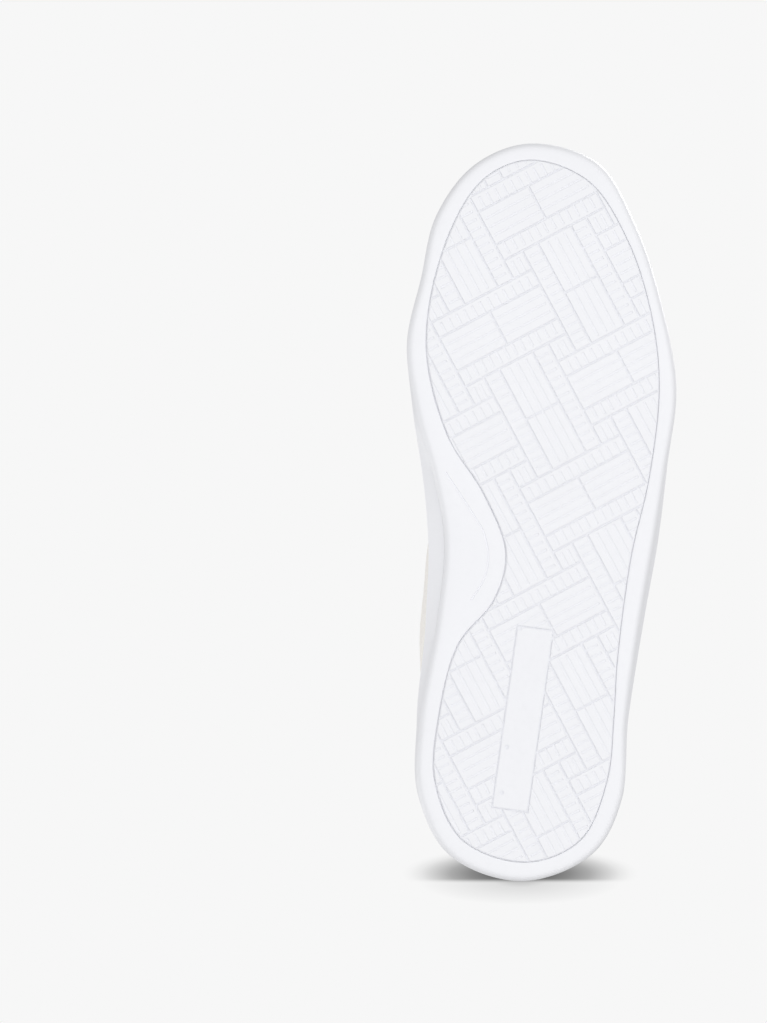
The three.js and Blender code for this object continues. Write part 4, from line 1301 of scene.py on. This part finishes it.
def makeTongue():
    middle = tongueSurface()
    normal = unit(np.cross(-np.gradient(middle, axis=1), np.gradient(middle, axis=0)))
    length, width = runAlong(middle, 0), runAlong(middle, 1)
    near = np.minimum(np.minimum(length, length[-1:] - length), np.minimum(width, width[:, -1:] - width))
    thick = tongue["rim"] + (tongue["thickness"] - tongue["rim"]) * (1 - np.exp(-near / 4.0))
    front, back = (middle + normal * (tongue["sink"] + thick * half)[..., None] for half in (0.5, -0.5))
    cushion = gridSolid("tongue_cushion", front, back, liningKnit, 75)
    sewn = (np.abs(near - tongue["seam"]) < tongue["seamWidth"]) | (near < tongue["border"])
    swell(cushion, np.tile(sewn.ravel(), 2), swelling["tongueCap"])
    finished(cushion, "tongue", "lining_fabric", "tongue_foam", "tongue_lining")
    face, out, inset = (grid[1:-1, 1:-1] for grid in (frontOf(cushion, middle, normal), normal, near))
    rounding = tongue["rounding"] * (1 - np.clip((inset - inset.min()) / 0.8, 0, 1)) ** 2
    outer = face + out * (tongue["face"] - rounding)[..., None]
    sides = (refine(refine(side, 2, 0), 2, 1) for side in (outer, face + out * tongue["underFace"]))
    finished(gridSolid("tongue_leather", *sides, upperLeather), "tongue", "leather", "tongue_shell")
    lines = [outer[2:-2, 2], outer[2:-2, -3], outer[-3, 2:-2], outer[-5, 2:-2]]
    sew("tongue_stitching", [line + (0.02, 0, 0.08) for line in lines], *tongue["stitches"], body="tongue")


makeTongue()
print("soft parts made")

# ---- footbed ----
footbed = {
    "inset": 12.7, "bottom": 12.8,
    "section": ((1.6, 0), (1.2, 0.2), (0.8, 2), (0.75, 5.1), (1.1, 5.6), (1.8, 5.7), (3.2, 5.3), (5.5, 4.6),
                (9, 4.2), (11.5, 4.08), (13.5, 4.05)),
}


def makeFootbed():
    rings = [outlineRing(rimOutline, footbed["inset"] + inset, footbed["bottom"] + height)
             for inset, height in footbed["section"]]
    piece = ringSolid("footbed_cover", rings, "toe", footbedKnit, 50)
    return finished(piece, "footbed", "lining_fabric", "sockliner")


makeFootbed()

# ---- parts that stay as the frame gives them ----
for node, material, slot in (("midsole_insert", creamFoam, "eva_foam"), ("insole_board", fibreBoard, "board"),
                             ("toe_puff", fibreBoard, "board"), ("heel_stiffener", fibreBoard, "board")):
    repaint(frame["nodes"][node], material)

# ---- studio: pale floor, a pale ceiling for the view from below, soft light from above and below ----
studio = {
    "floor": 0.8, "below": 0.86, "above": 0.55, "ceiling": 0.93, "ceilingHeight": 4,
    "shadeHeight": 0.014, "shadeLine": 0.0009, "shadeCentre": -0.0081, "shadeSide": 0.07,
    "shadeUnder": 0.035, "shadeBefore": 0.02, "under": (0.0535, 0.01225),
    "underTones": [(0, 0.07), (0.23, 0.156), (0.38, 0.258), (0.53, 0.41), (0.61, 0.545), (0.69, 0.68),
                   (0.76, 0.81), (0.84, 0.9), (0.9, 0.93)],
    "before": (0.0428, 0.0098),
    "beforeTones": [(0, 0.58), (0.1, 0.61), (0.25, 0.74), (0.42, 0.78), (0.6, 0.83), (0.76, 0.87),
                    (0.97, 0.93)],
}
lamps = {  # place, aim, size and watts
    "keyLight": ((0.75, -0.75, 1.5), (0, 0, 0.05), 0.7, 19),
    "fillLight": ((-1.3, 0.6, 0.9), (0, 0, 0.05), 0.8, 6),
    "soleLight": ((0.32, -0.2, -1.5), (0, 0, 0), 1.2, 5.9),
    "waistLight": ((-1.3, 0.1, -0.35), (0, 0, 0.03), 0.8, 4.5),
}
view = {"place": (-0.0638, 0, -2.0), "turn": (math.pi, 0, 0), "lens": 173.8, "film": 36, "near": 0.05,
        "far": 60}


def sheetOf(name, left, right, low, high, z, material, faceUp=False):
    corners = [(left, low, z), (left, high, z), (right, high, z), (right, low, z)]
    made = meshObject(name, corners[::-1] if faceUp else corners, [], [(0, 1, 2, 3)])
    made.visible_diffuse = made.visible_glossy = made.visible_transmission = made.visible_shadow = False
    made.data.materials.append(material)


def glow(graph, shader, colour):
    graph.feed(shader, {"Base Color": grey(0), "Roughness": 1.0, "Specular IOR Level": 0.0,
                        "Emission Color": colour, "Emission Strength": 1.0})


def clearBehind(material, graph, shader):
    # the sheet shows from its front only
    behind = graph.put("ShaderNodeNewGeometry", output="Backfacing")
    clear = graph.put("ShaderNodeBsdfTransparent")
    seen = graph.put("ShaderNodeMixShader", inputs={0: behind, 1: Wire(graph, shader.outputs[0]), 2: clear})
    graph.feed(material.node_tree.nodes["Material Output"], {0: seen})


def smoothRange(graph, value, low, high):
    return graph.put("ShaderNodeMapRange", {"interpolation_type": "SMOOTHSTEP"},
                     {"Value": value, "From Min": low, "From Max": high})


def contactShade(graph, place, centre, reach, stops):
    # a tone that changes with the distance from centre, in shares of reach
    scaled = graph.vector("DIVIDE", graph.vector("SUBTRACT", place, (*centre, 0)), (*reach, 1))
    flat = graph.vector("MULTIPLY", scaled, (1, 1, 0))
    return graph.ramp(graph.vector("LENGTH", flat, output="Value"), stops)


def makeSheets():
    material, graph, shader = newFinish("paleFloor")
    graph.feed(shader, {"Base Color": grey(studio["floor"]), "Roughness": 0.9, "Specular IOR Level": 0.1})
    clearBehind(material, graph, shader)
    sheetOf("floor", -9, 9, -9, 9, 0, material, faceUp=True)
    material, graph, shader = newFinish("paleBackdrop")
    glow(graph, shader, grey(studio["ceiling"]))
    sheetOf("backdrop", -2, 2, -2, 2, studio["ceilingHeight"], material)
    # the soft shadow where the heel stands, painted in glowing tones on a sheet that shows only from below
    line, x = cadHigh.y + studio["shadeLine"], studio["shadeCentre"]
    material, graph, shader = newFinish("heelShade")
    place = graph.coordinates()
    under = contactShade(graph, place, (x, line - 0.0031), studio["under"], studio["underTones"])
    before = contactShade(graph, place, (x, line), studio["before"], studio["beforeTones"])
    past = smoothRange(graph, graph.part(place, 1), line - 0.0012, line + 0.0008)
    glow(graph, shader, graph.mixColour(past, under, before))
    clearBehind(material, graph, shader)
    aside, back, ahead = (studio[key] for key in ("shadeSide", "shadeUnder", "shadeBefore"))
    sheetOf("heelShade", x - aside, x + aside, line - back, line + ahead, studio["shadeHeight"], material)


def makeWorld():
    world = scene.world = bpy.data.worlds.new("studio")
    world.use_nodes = True
    graph = Graph(world.node_tree)
    share = smoothRange(graph, graph.part(graph.coordinates("Generated"), 2), -0.75, -0.1)
    colour = graph.mixColour(share, grey(studio["below"]), grey(studio["above"]))
    graph.feed(world.node_tree.nodes["Background"], {"Color": colour, "Strength": 1.0})


def softbox(name):
    place, aim, size, watts = lamps[name]
    light = bpy.data.lights.new(name, "AREA")
    light.shape, light.size, light.size_y, light.energy = "RECTANGLE", size, size, watts
    lamp = newObject(name, light)
    lamp.location = place
    lamp.rotation_mode = "QUATERNION"
    lamp.rotation_quaternion = (Vector(aim) - Vector(place)).to_track_quat("-Z", "Y")
    lamp.visible_camera = False
    return lamp


makeSheets()
makeWorld()
hung = {name: softbox(name) for name in lamps}
leathers = bpy.data.collections.new("leathers")  # the waist light falls on the leather alone
for piece in scene.objects:
    if "leather" in piece.name:
        leathers.objects.link(piece)
hung["waistLight"].light_linking.receiver_collection = leathers

camera = newObject("camera", bpy.data.cameras.new("camera"))
camera.data.lens, camera.data.sensor_width = view["lens"], view["film"]
camera.data.clip_start, camera.data.clip_end = view["near"], view["far"]
camera.location, camera.rotation_euler = view["place"], view["turn"]
scene.camera = camera
scene.view_settings.view_transform = "Standard"
print("studio made")
